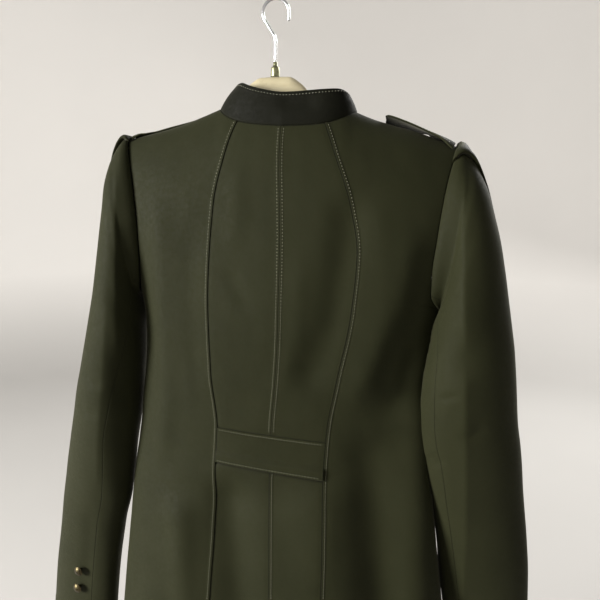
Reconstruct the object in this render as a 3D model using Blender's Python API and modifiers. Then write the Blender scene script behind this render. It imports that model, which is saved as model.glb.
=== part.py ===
"""Longline military jacket hanging on a hanger.

Metres, +Z up. The origin is the inside top of the hook, where a rail would carry it.
The jacket's back faces +Y, its front -Y, and the wearer's left is +X.
Cloth is worked out in the garment's own frame, with its middle at x = 0, and hang() then
gives it the sideways lean and the tilt that it has on the hanger.
"""

import math

import bmesh
import bpy
from mathutils import Vector

OBJECT_NAME = "longline_military_jacket"

# Cloth
WALL = 0.002
COLLAR_WALL = 0.003
BELT_WALL = 0.0028
BELT_RISE = 0.0008
SEAM_GAP = 0.0003
BUTTON_GAP = 0.0005
PANEL_INSET = 0.00018

# How the jacket hangs
TILT = 0.018

# Heights that the pieces share
UNDERARM = -0.342
HEM = -0.985
BELT_TOP = -0.4963
BELT_BOTTOM = -0.5405
BELT_TOP_SLOPE = 0.046
BELT_BOTTOM_SLOPE = 0.070

# Shoulder
NECK_HALF = 0.080
SHOULDER_HALF = 0.1935
SHOULDER_ROUND = 0.110
SIDE_POWER = 0.8

# Front opening
FRONT_OVERLAP = 0.018
FRONT_STEP = 0.0015
FRONT_BUTTONS = 7
FRONT_BUTTON_TOP = -0.222
FRONT_BUTTON_PITCH = 0.074

# How much wider and taller than a cuff button the front ones are
FRONT_BUTTON_SCALE = (1.45, 1.10)

# Sleeve head pleats
PLEAT_RISE = 0.0035
PLEAT_ANGLE = math.radians(38)
SLEEVE_TWIST = {"left": math.radians(20), "right": 0.0}

# Least distance that the sleeves keep from the sides they hang against
SLEEVE_CLEARANCE = 0.0015

# Cuff buttons, by the back seam of each sleeve
CUFF_BUTTON_HEIGHTS = (-0.722, -0.750)
CUFF_BUTTON_FROM_SEAM = math.radians(22)

# Hook wire
WIRE_RADIUS = 0.0017
HOOK_RADIUS = 0.0150
HOOK_KINK = -0.0406
HOOK_STEM_END = -0.0664
HOOK_TIP_DROP = 0.008

# Hanger
HANGER_TILT = -0.026


class Table:
    """Rows of named columns, read as smooth curves along the first column."""

    def __init__(self, names, *rows):
        self.names = names.split()
        self.rows = sorted(rows)
        self.keys = [row[0] for row in self.rows]
        self.curves = {}
        for index, name in enumerate(self.names[1:], start=1):
            values = [row[index] for row in self.rows]
            self.curves[name] = (values, self.slopes(values))

    def slopes(self, values):
        steps = []
        for low in range(len(values) - 1):
            steps.append((values[low + 1] - values[low]) / (self.keys[low + 1] - self.keys[low]))
        found = [steps[0]]
        for before, after in zip(steps, steps[1:]):
            found.append(2 * before * after / (before + after) if before * after > 0 else 0.0)
        found.append(steps[-1])
        return found

    def at(self, name, place):
        values, slopes = self.curves[name]
        if place <= self.keys[0]:
            return values[0]
        if place >= self.keys[-1]:
            return values[-1]
        high = next(index for index, key in enumerate(self.keys) if key > place)
        low = high - 1
        span = self.keys[high] - self.keys[low]
        t = (place - self.keys[low]) / span
        return (
            values[low] * (1 + 2 * t) * (1 - t) ** 2
            + slopes[low] * span * t * (1 - t) ** 2
            + values[high] * t * t * (3 - 2 * t)
            + slopes[high] * span * t * t * (t - 1)
        )


# Sideways place of the garment's middle, which slid to the wearer's right at the neck
SWAY = Table(
    "height shift",
    (-0.100, -0.0155),
    (-0.160, -0.0160),
    (-0.222, -0.0190),
    (-0.276, -0.0205),
    (-0.367, -0.0190),
    (-0.427, -0.0155),
    (-0.484, -0.0105),
    (-0.547, -0.0090),
    (-0.602, -0.0105),
    (-0.700, -0.0125),
    (-0.985, -0.0130),
)

# Half sections of the torso; above the underarm the half width is where the curve would close
BODY = Table(
    "height half_width back front",
    (-0.100, 0.2360, 0.0500, 0.0440),
    (-0.150, 0.2320, 0.0530, 0.0470),
    (-0.200, 0.2220, 0.0580, 0.0540),
    (-0.250, 0.2100, 0.0620, 0.0610),
    (-0.300, 0.1960, 0.0640, 0.0670),
    (-0.342, 0.1850, 0.0630, 0.0700),
    (-0.370, 0.1800, 0.0610, 0.0700),
    (-0.420, 0.1780, 0.0560, 0.0660),
    (-0.480, 0.1790, 0.0510, 0.0600),
    (-0.530, 0.1830, 0.0500, 0.0570),
    (-0.570, 0.1895, 0.0530, 0.0580),
    (-0.620, 0.1960, 0.0590, 0.0610),
    (-0.700, 0.2060, 0.0650, 0.0650),
    (-0.790, 0.2150, 0.0690, 0.0680),
    (-0.985, 0.2300, 0.0740, 0.0720),
)

# Height of each shoulder's ridge, from the middle of the neck out to the sleeve
SHOULDER = Table(
    "from_middle left right",
    (0.000, -0.1050, -0.1050),
    (0.040, -0.1080, -0.1080),
    (0.065, -0.1135, -0.1135),
    (0.080, -0.1208, -0.1208),
    (0.100, -0.1292, -0.1286),
    (0.120, -0.1368, -0.1342),
    (0.145, -0.1440, -0.1405),
    (0.165, -0.1496, -0.1470),
    (0.1935, -0.1570, -0.1570),
    (0.240, -0.1750, -0.1750),
)

BACK_NECK = Table(
    "from_middle height",
    (0.000, -0.1420),
    (0.031, -0.1398),
    (0.050, -0.1365),
    (0.068, -0.1295),
    (0.080, -0.1208),
)

FRONT_NECK = Table(
    "from_middle height",
    (0.000, -0.1950),
    (0.025, -0.1900),
    (0.048, -0.1740),
    (0.066, -0.1510),
    (0.077, -0.1305),
    (0.080, -0.1208),
)

ARMHOLE = Table(
    "height back_left back_right front",
    (-0.1570, 0.1935, 0.1935, 0.1935),
    (-0.1850, 0.1860, 0.1835, 0.1800),
    (-0.2180, 0.1800, 0.1755, 0.1700),
    (-0.2600, 0.1765, 0.1690, 0.1650),
    (-0.2950, 0.1765, 0.1655, 0.1660),
    (-0.3200, 0.1785, 0.1660, 0.1715),
    (-0.3350, 0.1820, 0.1740, 0.1790),
    (-0.3420, 0.1850, 0.1850, 0.1850),
)

# Princess seams: distance from the middle on each half of the back, and on both halves of the front
PRINCESS = Table(
    "height back_left back_right front",
    (-0.1208, 0.0400, 0.0400, 0.1220),
    (-0.1370, 0.0520, 0.0480, 0.1210),
    (-0.1800, 0.0650, 0.0640, 0.1150),
    (-0.2230, 0.0756, 0.0770, 0.1080),
    (-0.2780, 0.0818, 0.0850, 0.1010),
    (-0.3400, 0.0840, 0.0815, 0.0950),
    (-0.4250, 0.0790, 0.0700, 0.0830),
    (-0.4940, 0.0665, 0.0650, 0.0760),
    (-0.5400, 0.0680, 0.0640, 0.0780),
    (-0.6200, 0.0705, 0.0640, 0.0840),
    (-0.7000, 0.0750, 0.0630, 0.0900),
    (-0.9850, 0.0830, 0.0700, 0.1040),
)

# Largest soft folds: place across, where each starts, its half width, and how far out it stands at the hem
BACK_FOLDS = (
    # across, start, half_width, rise
    (0.098, -0.530, 0.017, -0.0060),
    (0.146, -0.560, 0.024, 0.0060),
    (-0.024, -0.600, 0.026, 0.0040),
    (-0.098, -0.600, 0.020, 0.0050),
    (-0.140, -0.560, 0.022, -0.0045),
)
FRONT_FOLDS = (
    (0.128, -0.540, 0.022, 0.0060),
    (0.070, -0.600, 0.024, -0.0045),
    (-0.074, -0.560, 0.022, 0.0055),
    (-0.132, -0.600, 0.022, -0.0045),
)

# Stand collar: angle round the neck from the middle back, the wearer's left positive, and its top edge
COLLAR_TOP = Table(
    "angle x y z",
    (-180, -0.0020, -0.0520, -0.1585),
    (-150, -0.0320, -0.0450, -0.1470),
    (-120, -0.0600, -0.0290, -0.1270),
    (-90, -0.0715, -0.0030, -0.1080),
    (-75, -0.0700, 0.0120, -0.1015),
    (-60, -0.0620, 0.0240, -0.0988),
    (-40, -0.0440, 0.0320, -0.1005),
    (0, 0.0000, 0.0350, -0.1042),
    (25, 0.0220, 0.0340, -0.1015),
    (45, 0.0390, 0.0290, -0.0970),
    (60, 0.0500, 0.0200, -0.0928),
    (75, 0.0565, 0.0080, -0.0925),
    (90, 0.0605, -0.0060, -0.0985),
    (120, 0.0510, -0.0310, -0.1200),
    (150, 0.0270, -0.0460, -0.1440),
    (180, 0.0020, -0.0520, -0.1585),
)
COLLAR_END_ANGLE = 176

# Sleeve rings: the ring's top or outer point, its under or inner point, its depths and seam angles
SLEEVE = Table(
    "row top_x top_z under_x under_z back front middle_y back_seam front_seam",
    (0, 0.1935, -0.1570, 0.1850, -0.3420, 0.037, 0.041, 0.000, 140, 150),
    (1, 0.1950, -0.1545, 0.1865, -0.3445, 0.041, 0.044, 0.000, 140, 150),
    (2, 0.1985, -0.1555, 0.1868, -0.3465, 0.044, 0.047, 0.000, 140, 150),
    (3, 0.2055, -0.1640, 0.1850, -0.3495, 0.046, 0.049, 0.000, 141, 150),
    (4, 0.2140, -0.1780, 0.1800, -0.3535, 0.048, 0.050, 0.004, 142, 150),
    (5, 0.2230, -0.1980, 0.1750, -0.3590, 0.049, 0.051, 0.008, 142, 150),
    (6, 0.2305, -0.2250, 0.1690, -0.3660, 0.050, 0.051, 0.012, 142, 149),
    (7, 0.2375, -0.2550, 0.1640, -0.3770, 0.050, 0.051, 0.016, 141, 148),
    (8, 0.2440, -0.2880, 0.1615, -0.3920, 0.050, 0.050, 0.019, 139, 147),
    (9, 0.2510, -0.3250, 0.1610, -0.4120, 0.049, 0.049, 0.021, 137, 146),
    (10, 0.2595, -0.3650, 0.1620, -0.4370, 0.048, 0.048, 0.021, 136, 145),
    (11, 0.2685, -0.4070, 0.1655, -0.4670, 0.046, 0.046, 0.019, 134, 145),
    (12, 0.2775, -0.4500, 0.1725, -0.5010, 0.044, 0.044, 0.015, 132, 145),
    (13, 0.2880, -0.4950, 0.1825, -0.5360, 0.041, 0.042, 0.010, 130, 145),
    (14, 0.2955, -0.5400, 0.1890, -0.5730, 0.038, 0.039, 0.005, 130, 145),
    (15, 0.3020, -0.5880, 0.1940, -0.6120, 0.035, 0.036, 0.000, 129, 145),
    (16, 0.3075, -0.6400, 0.2005, -0.6580, 0.032, 0.033, -0.005, 128, 145),
    (17, 0.3120, -0.6940, 0.2085, -0.7080, 0.029, 0.030, -0.010, 127, 145),
    (18, 0.3165, -0.7500, 0.2160, -0.7640, 0.027, 0.028, -0.014, 126, 145),
    (19, 0.3220, -0.8080, 0.2225, -0.8210, 0.026, 0.027, -0.018, 126, 145),
)
SLEEVE_ROWS = 19
ARMHOLE_FADE_ROWS = 4

# How the left sleeve's rings differ from the right one's
LEFT_SLEEVE = Table(
    "row outer inner forward",
    (3, 0.0000, 0.0000, 0.0000),
    (4, -0.0005, 0.0040, -0.0030),
    (5, -0.0018, 0.0080, -0.0060),
    (6, -0.0046, 0.0140, -0.0090),
    (8, -0.0085, 0.0225, -0.0130),
    (10, -0.0130, 0.0215, -0.0140),
    (12, -0.0150, 0.0120, -0.0110),
    (13, -0.0175, 0.0060, -0.0080),
    (14, -0.0150, 0.0030, -0.0050),
    (15, -0.0085, 0.0025, -0.0020),
    (16, -0.0020, 0.0085, 0.0000),
    (17, 0.0060, 0.0100, 0.0000),
    (18, 0.0140, 0.0090, 0.0000),
    (19, 0.0180, 0.0080, 0.0000),
)

# Columns round the upper and under sleeve, as shares of the way to the seams
UPPER_SHARES = (0.0, 0.10, 0.19, 0.25, 0.30, 0.38, 0.50, 0.63, 0.76, 0.88, 1.0)
UNDERARM_SHARE = 4 / 7
UNDER_SHARES = (0.0, 0.19, 0.38, UNDERARM_SHARE, 0.71, 0.86, 1.0)

# Heights of the rows below the underarm, on the side seams and the front, and below the belt
LOW_ROWS = (-0.385, -0.430, -0.475, -0.520, -0.565, -0.620, -0.690, -0.780, -0.880, HEM)
SKIRT_ROWS = (-0.575, -0.620, -0.690, -0.780, -0.880, HEM)

# Epaulette: its height over the shoulder, how much higher its front edge stands, and its half width
EPAULETTE = Table(
    "from_middle lift left_rise right_rise half_width",
    (0.1120, 0.0010, 0.0020, 0.0100, 0.0060),
    (0.1145, 0.0010, 0.0020, 0.0102, 0.0130),
    (0.1210, 0.0010, 0.0018, 0.0108, 0.0180),
    (0.1320, 0.0012, 0.0010, 0.0105, 0.0190),
    (0.1500, 0.0016, 0.0000, 0.0065, 0.0195),
    (0.1700, 0.0020, 0.0000, 0.0040, 0.0190),
    (0.1820, 0.0017, 0.0000, 0.0020, 0.0180),
    (0.1900, 0.0010, 0.0000, 0.0000, 0.0175),
)
EPAULETTE_MIDDLE = {"left": -0.021, "right": -0.012}
EPAULETTE_DROOP = {"left": 0.0080, "right": 0.0010}
EPAULETTE_END_CURVE = 0.0070
EPAULETTE_WALL = 0.0022

HANGER = Table(
    "from_middle top half_height half_depth",
    (0.000, -0.0830, 0.0150, 0.0075),
    (0.016, -0.0834, 0.0150, 0.0075),
    (0.030, -0.0910, 0.0145, 0.0068),
    (0.042, -0.1030, 0.0135, 0.0062),
    (0.052, -0.1151, 0.0130, 0.0060),
    (0.0645, -0.1272, 0.0125, 0.0065),
    (0.080, -0.1300, 0.0130, 0.0080),
    (0.100, -0.1337, 0.0130, 0.0090),
    (0.130, -0.1420, 0.0125, 0.0100),
    (0.160, -0.1508, 0.0115, 0.0105),
    (0.170, -0.1546, 0.0080, 0.0080),
)
HANGER_SIDES = 12

BUTTON_PROFILE = (
    # radius, height
    (0.0, 0.0072),
    (0.0036, 0.0066),
    (0.0058, 0.0050),
    (0.0066, 0.0034),
    (0.0060, 0.0024),
    (0.0022, 0.0020),
    (0.0020, 0.0),
    (0.0, 0.0),
)
NECK_PIECE_PROFILE = (
    (0.0, -0.0667),
    (0.0023, -0.0667),
    (0.0026, -0.0715),
    (0.0046, -0.0735),
    (0.0052, -0.0827),
    (0.0, -0.0827),
)


def smoothstep(t):
    t = min(max(t, 0.0), 1.0)
    return t * t * (3 - 2 * t)


def hang(point):
    """Garment frame to the hung object."""
    x, y, z = point
    return Vector((x + SWAY.at("shift", z), y, z + TILT * x))


def fold_rise(side, x, z):
    rise = 0.0
    for across, start, half_width, depth in BACK_FOLDS if side > 0 else FRONT_FOLDS:
        if z < start:
            grown = smoothstep((start - z) / (start - HEM))
            place = across * (1 + 0.12 * grown)
            rise += depth * grown * math.exp(-(((x - place) / half_width) ** 2))
    return rise


def ridge(x):
    """Height of the shoulder's ridge at a signed distance from the middle."""
    return SHOULDER.at("left" if x > 0 else "right", abs(x))


def depth_squared(side, x, z):
    """Square of the torso's depth at x and z, negative just outside the shoulder ridge."""
    ratio = min(abs(x) / BODY.at("half_width", z), 1.0)
    depth = BODY.at("back" if side > 0 else "front", z)
    fall = min((ridge(x) - z) / SHOULDER_ROUND, 1.0)
    return depth**2 * (1 - ratio**2) ** SIDE_POWER * (1 - (1 - fall) ** 2)


def body_y(side, x, z):
    depth = math.sqrt(max(depth_squared(side, x, z), 0.0))
    return side * (depth + fold_rise(side, x, z) * smoothstep(depth / 0.03))


def body_normal(side, x, z):
    """Outward direction of the torso's surface."""
    y = body_y(side, x, z)
    step = 0.00002

    def field(px, pz):
        depth = math.sqrt(max(depth_squared(side, px, pz), 0.0))
        added = fold_rise(side, px, pz) * smoothstep(depth / 0.03)
        return (abs(y) - added) ** 2 - depth_squared(side, px, pz)

    slope_x = (field(x + step, z) - field(x - step, z)) / (2 * step)
    slope_z = (field(x, z + step) - field(x, z - step)) / (2 * step)
    return Vector((slope_x, 2 * y, slope_z)).normalized()


def armhole_width(hand, y, z):
    """Distance of the armhole's edge from the middle at a height, on its back or its front."""
    return ARMHOLE.at(f"back_{hand}" if y > 0 else "front", z)


def body_reach(hand, y, z):
    """How far out the torso's cloth comes at a depth and a height, or 0 where it has none there."""
    depth = BODY.at("back" if y > 0 else "front", z)
    if abs(y) >= depth or z > ridge(SHOULDER_HALF):
        return 0.0
    reach = BODY.at("half_width", z) * math.sqrt(1 - (abs(y) / depth) ** (2 / SIDE_POWER))
    if z > UNDERARM and reach > armhole_width(hand, y, z):
        return 0.0
    return reach


def angle_at(x, z):
    """The section angle at which the torso has this x: 0 at the middle, a right angle at the side."""
    return math.asin(max(-1.0, min(1.0, x / BODY.at("half_width", z))))


def grid_between(left, right, top, bottom):
    """A grid of (angle, height) points that meets four lists of edge points."""
    rows, columns = len(left), len(top)
    height = left[0][1] - left[-1][1]
    grid = []
    for j in range(rows):
        v = (left[0][1] - left[j][1]) / height
        row = []
        for i in range(columns):
            u = i / (columns - 1)
            point = []
            for k in (0, 1):
                sides = (1 - u) * left[j][k] + u * right[j][k]
                ends = (1 - v) * top[i][k] + v * bottom[i][k]
                corners = (
                    (1 - u) * (1 - v) * left[0][k]
                    + u * (1 - v) * right[0][k]
                    + (1 - u) * v * left[-1][k]
                    + u * v * right[-1][k]
                )
                point.append(sides + ends - corners)
            row.append(tuple(point))
        grid.append(row)
    return grid


def inset(grid, amount, edges="nsew"):
    """Pulls the named edges of a grid of points in along its own lines."""
    rows, columns = len(grid), len(grid[0])
    moved = [[point.copy() for point in row] for row in grid]
    for i in range(columns):
        if "n" in edges:
            moved[0][i] += (grid[1][i] - grid[0][i]).normalized() * amount
        if "s" in edges:
            moved[-1][i] += (grid[-2][i] - grid[-1][i]).normalized() * amount
    for j in range(rows):
        if "w" in edges:
            moved[j][0] += (grid[j][1] - grid[j][0]).normalized() * amount
        if "e" in edges:
            moved[j][-1] += (grid[j][-2] - grid[j][-1]).normalized() * amount
    return moved


def add_object(name, mesh, material, collection):
    item = bpy.data.objects.new(name, mesh)
    item.data.materials.append(material)
    collection.objects.link(item)
    return item


def finish_mesh(name, bm):
    bmesh.ops.recalc_face_normals(bm, faces=bm.faces)
    mesh = bpy.data.meshes.new(name)
    bm.to_mesh(mesh)
    bm.free()
    mesh.shade_smooth()
    mesh.set_sharp_from_angle(angle=math.radians(50))
    return mesh


def shell(name, outer, inner, material, collection):
    """A closed wall between two grids of points."""
    bm = bmesh.new()
    rows, columns = len(outer), len(outer[0])
    out = [[bm.verts.new(point) for point in row] for row in outer]
    inn = [[bm.verts.new(point) for point in row] for row in inner]
    for j in range(rows - 1):
        for i in range(columns - 1):
            bm.faces.new((out[j][i], out[j][i + 1], out[j + 1][i + 1], out[j + 1][i]))
            bm.faces.new((inn[j][i], inn[j + 1][i], inn[j + 1][i + 1], inn[j][i + 1]))
    for i in range(columns - 1):
        bm.faces.new((out[0][i], inn[0][i], inn[0][i + 1], out[0][i + 1]))
        bm.faces.new((out[-1][i], out[-1][i + 1], inn[-1][i + 1], inn[-1][i]))
    for j in range(rows - 1):
        bm.faces.new((out[j][0], out[j + 1][0], inn[j + 1][0], inn[j][0]))
        bm.faces.new((out[j][-1], inn[j][-1], inn[j + 1][-1], out[j + 1][-1]))
    return add_object(name, finish_mesh(name, bm), material, collection)


def body_panel(name, side, grid, material, collection, rise=None, wall=WALL, edges="nsew"):
    """A wall on the torso's surface over a grid of (angle, height) points."""
    outer, inner = [], []
    for row in grid:
        out_row, in_row = [], []
        for angle, z in row:
            x = BODY.at("half_width", z) * math.sin(angle)
            normal = body_normal(side, x, z)
            point = Vector((x, body_y(side, x, z), z))
            if rise:
                point += normal * rise(x)
            out_row.append(hang(point))
            in_row.append(hang(point - normal * wall))
        outer.append(out_row)
        inner.append(in_row)
    outer = inset(outer, PANEL_INSET, edges)
    inner = inset(inner, PANEL_INSET, edges)
    return shell(name, outer, inner, material, collection)


def falling(start, end, count, crowd=1.0):
    """Heights from start down to end, closer together at the start where crowd is over 1."""
    return [start + (end - start) * (j / (count - 1)) ** crowd for j in range(count)]


def belt_edge(sign, which):
    """Height of the belt's edge where it meets the princess seam on one half."""
    middle, slope = {
        "top": (BELT_TOP, BELT_TOP_SLOPE),
        "bottom": (BELT_BOTTOM, BELT_BOTTOM_SLOPE),
    }[which]
    return middle + slope * sign * princess_x("back", sign, middle)


def princess_x(face, sign, z):
    if face == "front":
        return PRINCESS.at("front", z)
    return PRINCESS.at("back_left" if sign > 0 else "back_right", z)


def princess_heights(sign):
    """Heights shared by the back's pieces along a princess seam, and where the belt lies in them."""
    neck = BACK_NECK.at("height", 0.050)
    upper = falling(neck, belt_edge(sign, "top"), 17, 1.3)
    lower = [belt_edge(sign, "bottom"), *SKIRT_ROWS]
    return upper, lower


def seam_points(face, sign, heights):
    points = []
    for z in heights:
        points.append((sign * angle_at(princess_x(face, sign, z), z), z))
    return points


def armhole_turns(face):
    """Turns from the shoulder tip to the underarm that the sleeve's columns use too."""
    back, front = SLEEVE.at("back_seam", 0), SLEEVE.at("front_seam", 0)
    under = 360 - front - back
    if face == "back":
        degrees = [back * share for share in UPPER_SHARES]
        degrees += [back + under * share for share in UNDER_SHARES if 0 < share <= UNDERARM_SHARE]
    else:
        degrees = [front * share for share in UPPER_SHARES]
        rest = [share for share in UNDER_SHARES[::-1] if UNDERARM_SHARE <= share < 1]
        degrees += [360 - back - under * share for share in rest]
    return [math.radians(value) for value in degrees]


def armhole_height(turn):
    tip = ridge(SHOULDER_HALF)
    return tip + (UNDERARM - tip) * (1 - math.cos(turn)) / 2


def side_points(face, sign):
    """The armhole from the shoulder tip to the underarm, then the side seam to the hem."""
    points = []
    for turn in armhole_turns(face):
        z = armhole_height(turn)
        width = armhole_width("left" if sign > 0 else "right", 1 if face == "back" else -1, z)
        points.append((sign * angle_at(width, z), z))
    points[-1] = (sign * math.pi / 2, UNDERARM)
    for z in LOW_ROWS:
        points.append((sign * math.pi / 2, z))
    return points


def spread(start, end, steps):
    """Even places from start to end."""
    return [start + (end - start) * i / steps for i in range(steps + 1)]


def top_places(face, sign):
    """Places across the neckline and shoulder where the pieces of one half have their columns."""
    if face == "back":
        seam = princess_x("back", sign, BACK_NECK.at("height", 0.050))
        return spread(0.0, seam, 4), [*spread(seam, NECK_HALF, 2), *spread(NECK_HALF, SHOULDER_HALF, 6)[1:]]
    seam = princess_x("front", sign, ridge(sign * PRINCESS.at("front", -0.135)))
    neck = [-FRONT_OVERLAP, 0.0, *(NECK_HALF * share for share in (0.2, 0.4, 0.6, 0.75, 0.9, 1.0))]
    return [*neck, *spread(NECK_HALF, seam, 2)[1:]], spread(seam, SHOULDER_HALF, 5)


def top_points(face, sign, places):
    """A top edge over places measured from the middle, on the neckline and then the shoulder."""
    neck = BACK_NECK if face == "back" else FRONT_NECK
    points = []
    for x in places:
        z = neck.at("height", abs(x)) if abs(x) < NECK_HALF else ridge(sign * x)
        points.append((sign * angle_at(x, z), z))
    return points


def straight(start, end, columns):
    """Even (angle, height) points between two."""
    points = []
    for i in range(columns):
        share = i / (columns - 1)
        points.append(tuple(a + (b - a) * share for a, b in zip(start, end)))
    return points


def build_back(cloth, collection):
    for sign, hand in ((1, "left"), (-1, "right")):
        upper, lower = princess_heights(sign)
        centre_places, side_places = top_places("back", sign)
        columns = len(centre_places)
        seam = seam_points("back", sign, upper + lower)
        side = side_points("back", sign)
        top = top_points("back", sign, side_places)
        bottom = straight(seam[-1], side[-1], len(top))
        body_panel(f"back_side_{hand}", 1, grid_between(seam, side, top, bottom), cloth, collection)

        seam = seam_points("back", sign, upper)
        neck = BACK_NECK.at("height", 0.0)
        middle = []
        for z in upper:
            share = (upper[0] - z) / (upper[0] - upper[-1])
            middle.append((0.0, neck + (BELT_TOP - neck) * share))
        top = top_points("back", sign, centre_places[::-1])
        bottom = belt_line(sign, "top", columns)
        body_panel(f"back_centre_{hand}", 1, grid_between(seam, middle, top, bottom), cloth, collection)

        seam = seam_points("back", sign, lower)
        middle = [(0.0, z) for z in (BELT_BOTTOM, *SKIRT_ROWS)]
        top = belt_line(sign, "bottom", columns)
        bottom = straight(seam[-1], middle[-1], columns)
        body_panel(f"back_skirt_{hand}", 1, grid_between(seam, middle, top, bottom), cloth, collection)

    top = belt_line(1, "top", 5)[:-1] + belt_line(-1, "top", 5)[::-1]
    bottom = belt_line(1, "bottom", 5)[:-1] + belt_line(-1, "bottom", 5)[::-1]
    rows = [straight(high, low, 3) for high, low in zip(top, bottom)]
    rows = [[row[k] for row in rows] for k in range(3)]
    body_panel("back_belt", 1, rows, cloth, collection, rise=lambda x: BELT_RISE, wall=BELT_WALL)


def belt_line(sign, which, columns):
    """The belt's edge from a princess seam to the middle back."""
    middle = BELT_TOP if which == "top" else BELT_BOTTOM
    z_end = belt_edge(sign, which)
    end = sign * angle_at(princess_x("back", sign, z_end), z_end)
    points = []
    for i in range(columns):
        share = 1 - i / (columns - 1)
        points.append((end * share, middle + (z_end - middle) * share))
    return points


def build_front(cloth, collection):
    for sign, hand in ((1, "left"), (-1, "right")):
        front_places, side_places = top_places("front", sign)
        seam_top = ridge(sign * side_places[0])
        count = len(armhole_turns("front"))
        heights = falling(seam_top, UNDERARM, count, 1.7) + list(LOW_ROWS)
        seam = seam_points("front", sign, heights)
        side = side_points("front", sign)
        top = top_points("front", sign, side_places)
        bottom = straight(seam[-1], side[-1], len(top))
        body_panel(f"front_side_{hand}", -1, grid_between(seam, side, top, bottom), cloth, collection)

        edge_top = FRONT_NECK.at("height", FRONT_OVERLAP)
        edge = []
        for z in falling(edge_top, UNDERARM, count) + list(LOW_ROWS):
            edge.append((-sign * angle_at(FRONT_OVERLAP, z), z))
        top = top_points("front", sign, front_places[::-1])
        bottom = straight(seam[-1], edge[-1], len(top))
        step = FRONT_STEP if hand == "right" else -FRONT_STEP

        def overlap_rise(x, sign=sign, step=step):
            return step * smoothstep((0.045 - sign * x) / 0.025)

        grid = grid_between(seam, edge, top, bottom)
        body_panel(f"front_{hand}", -1, grid, cloth, collection, rise=overlap_rise)


def neckline(degrees):
    """Point and outward direction on the neckline at an angle round the neck."""
    angle = math.radians(degrees)
    side = 1 if abs(degrees) <= 90 else -1
    x = NECK_HALF * math.sin(angle)
    table = BACK_NECK if side > 0 else FRONT_NECK
    z = table.at("height", abs(x))
    return Vector((x, body_y(side, x, z), z)), body_normal(side, x, z)


def collar_point(degrees, share):
    """A point of the collar's outside, from the neckline up to the top edge."""
    base, normal = neckline(degrees)
    before, after = neckline(degrees - 0.5)[0], neckline(degrees + 0.5)[0]
    up = normal.cross(after - before).normalized()
    if up.z < 0:
        up.negate()
    base = base + up * (SEAM_GAP - PANEL_INSET)
    top = Vector([COLLAR_TOP.at(name, degrees) for name in ("x", "y", "z")])
    out = (after - before).cross(top - base).normalized()
    if out.dot(normal) < 0:
        out.negate()
    return base.lerp(top, share) + out * 0.0018 * math.sin(math.pi * share), out, normal


def collar_angles():
    """Angles round the neck at which the panels under the collar have their own columns."""
    found = {COLLAR_END_ANGLE, -COLLAR_END_ANGLE}
    for sign in (1, -1):
        centre, side = top_places("back", sign)
        for x in centre + side:
            if x <= NECK_HALF:
                found.add(sign * math.degrees(math.asin(x / NECK_HALF)))
        for x in top_places("front", sign)[0]:
            if 0.01 < x < NECK_HALF:
                found.add(sign * (180 - math.degrees(math.asin(x / NECK_HALF))))
    return sorted(found)


def build_collar(cloth, collection):
    rows = 5
    outer, inner = [], []
    for j in range(rows):
        share = j / (rows - 1)
        out_row, in_row = [], []
        for degrees in collar_angles():
            point, out, base_normal = collar_point(degrees, share)
            direction = base_normal.lerp(out, smoothstep(share / 0.5)).normalized()
            out_row.append(hang(point))
            in_row.append(hang(point - direction * COLLAR_WALL))
        outer.append(out_row)
        inner.append(in_row)
    shell("collar", outer, inner, cloth, collection)


def armhole(hand, turn):
    """Point, outward direction and direction away from the torso's pieces, at a turn round the armhole.

    They are given for the left side's sign of x.
    """
    sign = 1 if hand == "left" else -1

    def place(at):
        side = 1 if math.sin(at) >= 0 else -1
        z = armhole_height(at)
        x = armhole_width(hand, side, z)
        return side, Vector((x, body_y(side, sign * x, z), z))

    side, point = place(turn)
    normal = mirrored(sign, body_normal(side, sign * point.x, point.z))
    along = place(turn + 0.02)[1] - place(turn - 0.02)[1]
    away = normal.cross(along).normalized()
    middle = Vector((0.189, 0.0, (UNDERARM + ridge(SHOULDER_HALF)) / 2))
    if away.dot(middle - point) < 0:
        away.negate()
    return point, normal, away


def sleeve_ends(hand, row):
    """The top or outer point of a sleeve's ring, and its under or inner one."""
    top = Vector((SLEEVE.at("top_x", row), 0.0, SLEEVE.at("top_z", row)))
    under = Vector((SLEEVE.at("under_x", row), 0.0, SLEEVE.at("under_z", row)))
    top.y = under.y = SLEEVE.at("middle_y", row)
    if hand == "left":
        top.x += LEFT_SLEEVE.at("outer", row)
        under.x += LEFT_SLEEVE.at("inner", row)
        top.y = under.y = top.y + LEFT_SLEEVE.at("forward", row)
    return top, under


def sleeve_ring(hand, turn, row):
    top, under = sleeve_ends(hand, row)
    depth = SLEEVE.at("back" if math.sin(turn) > 0 else "front", row)
    point = (top + under) / 2 + (top - under) / 2 * math.cos(turn)
    point.y += depth * math.sin(turn)
    return point


def pleat_share(turn, row):
    """How far the raised middle of the sleeve head stands at this place."""
    turned = abs((turn + math.pi) % (2 * math.pi) - math.pi)
    across = smoothstep((PLEAT_ANGLE + 0.06 - turned) / 0.12)
    return across * smoothstep(row / 1.5) * smoothstep((8.0 - row) / 5.5)


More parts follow.
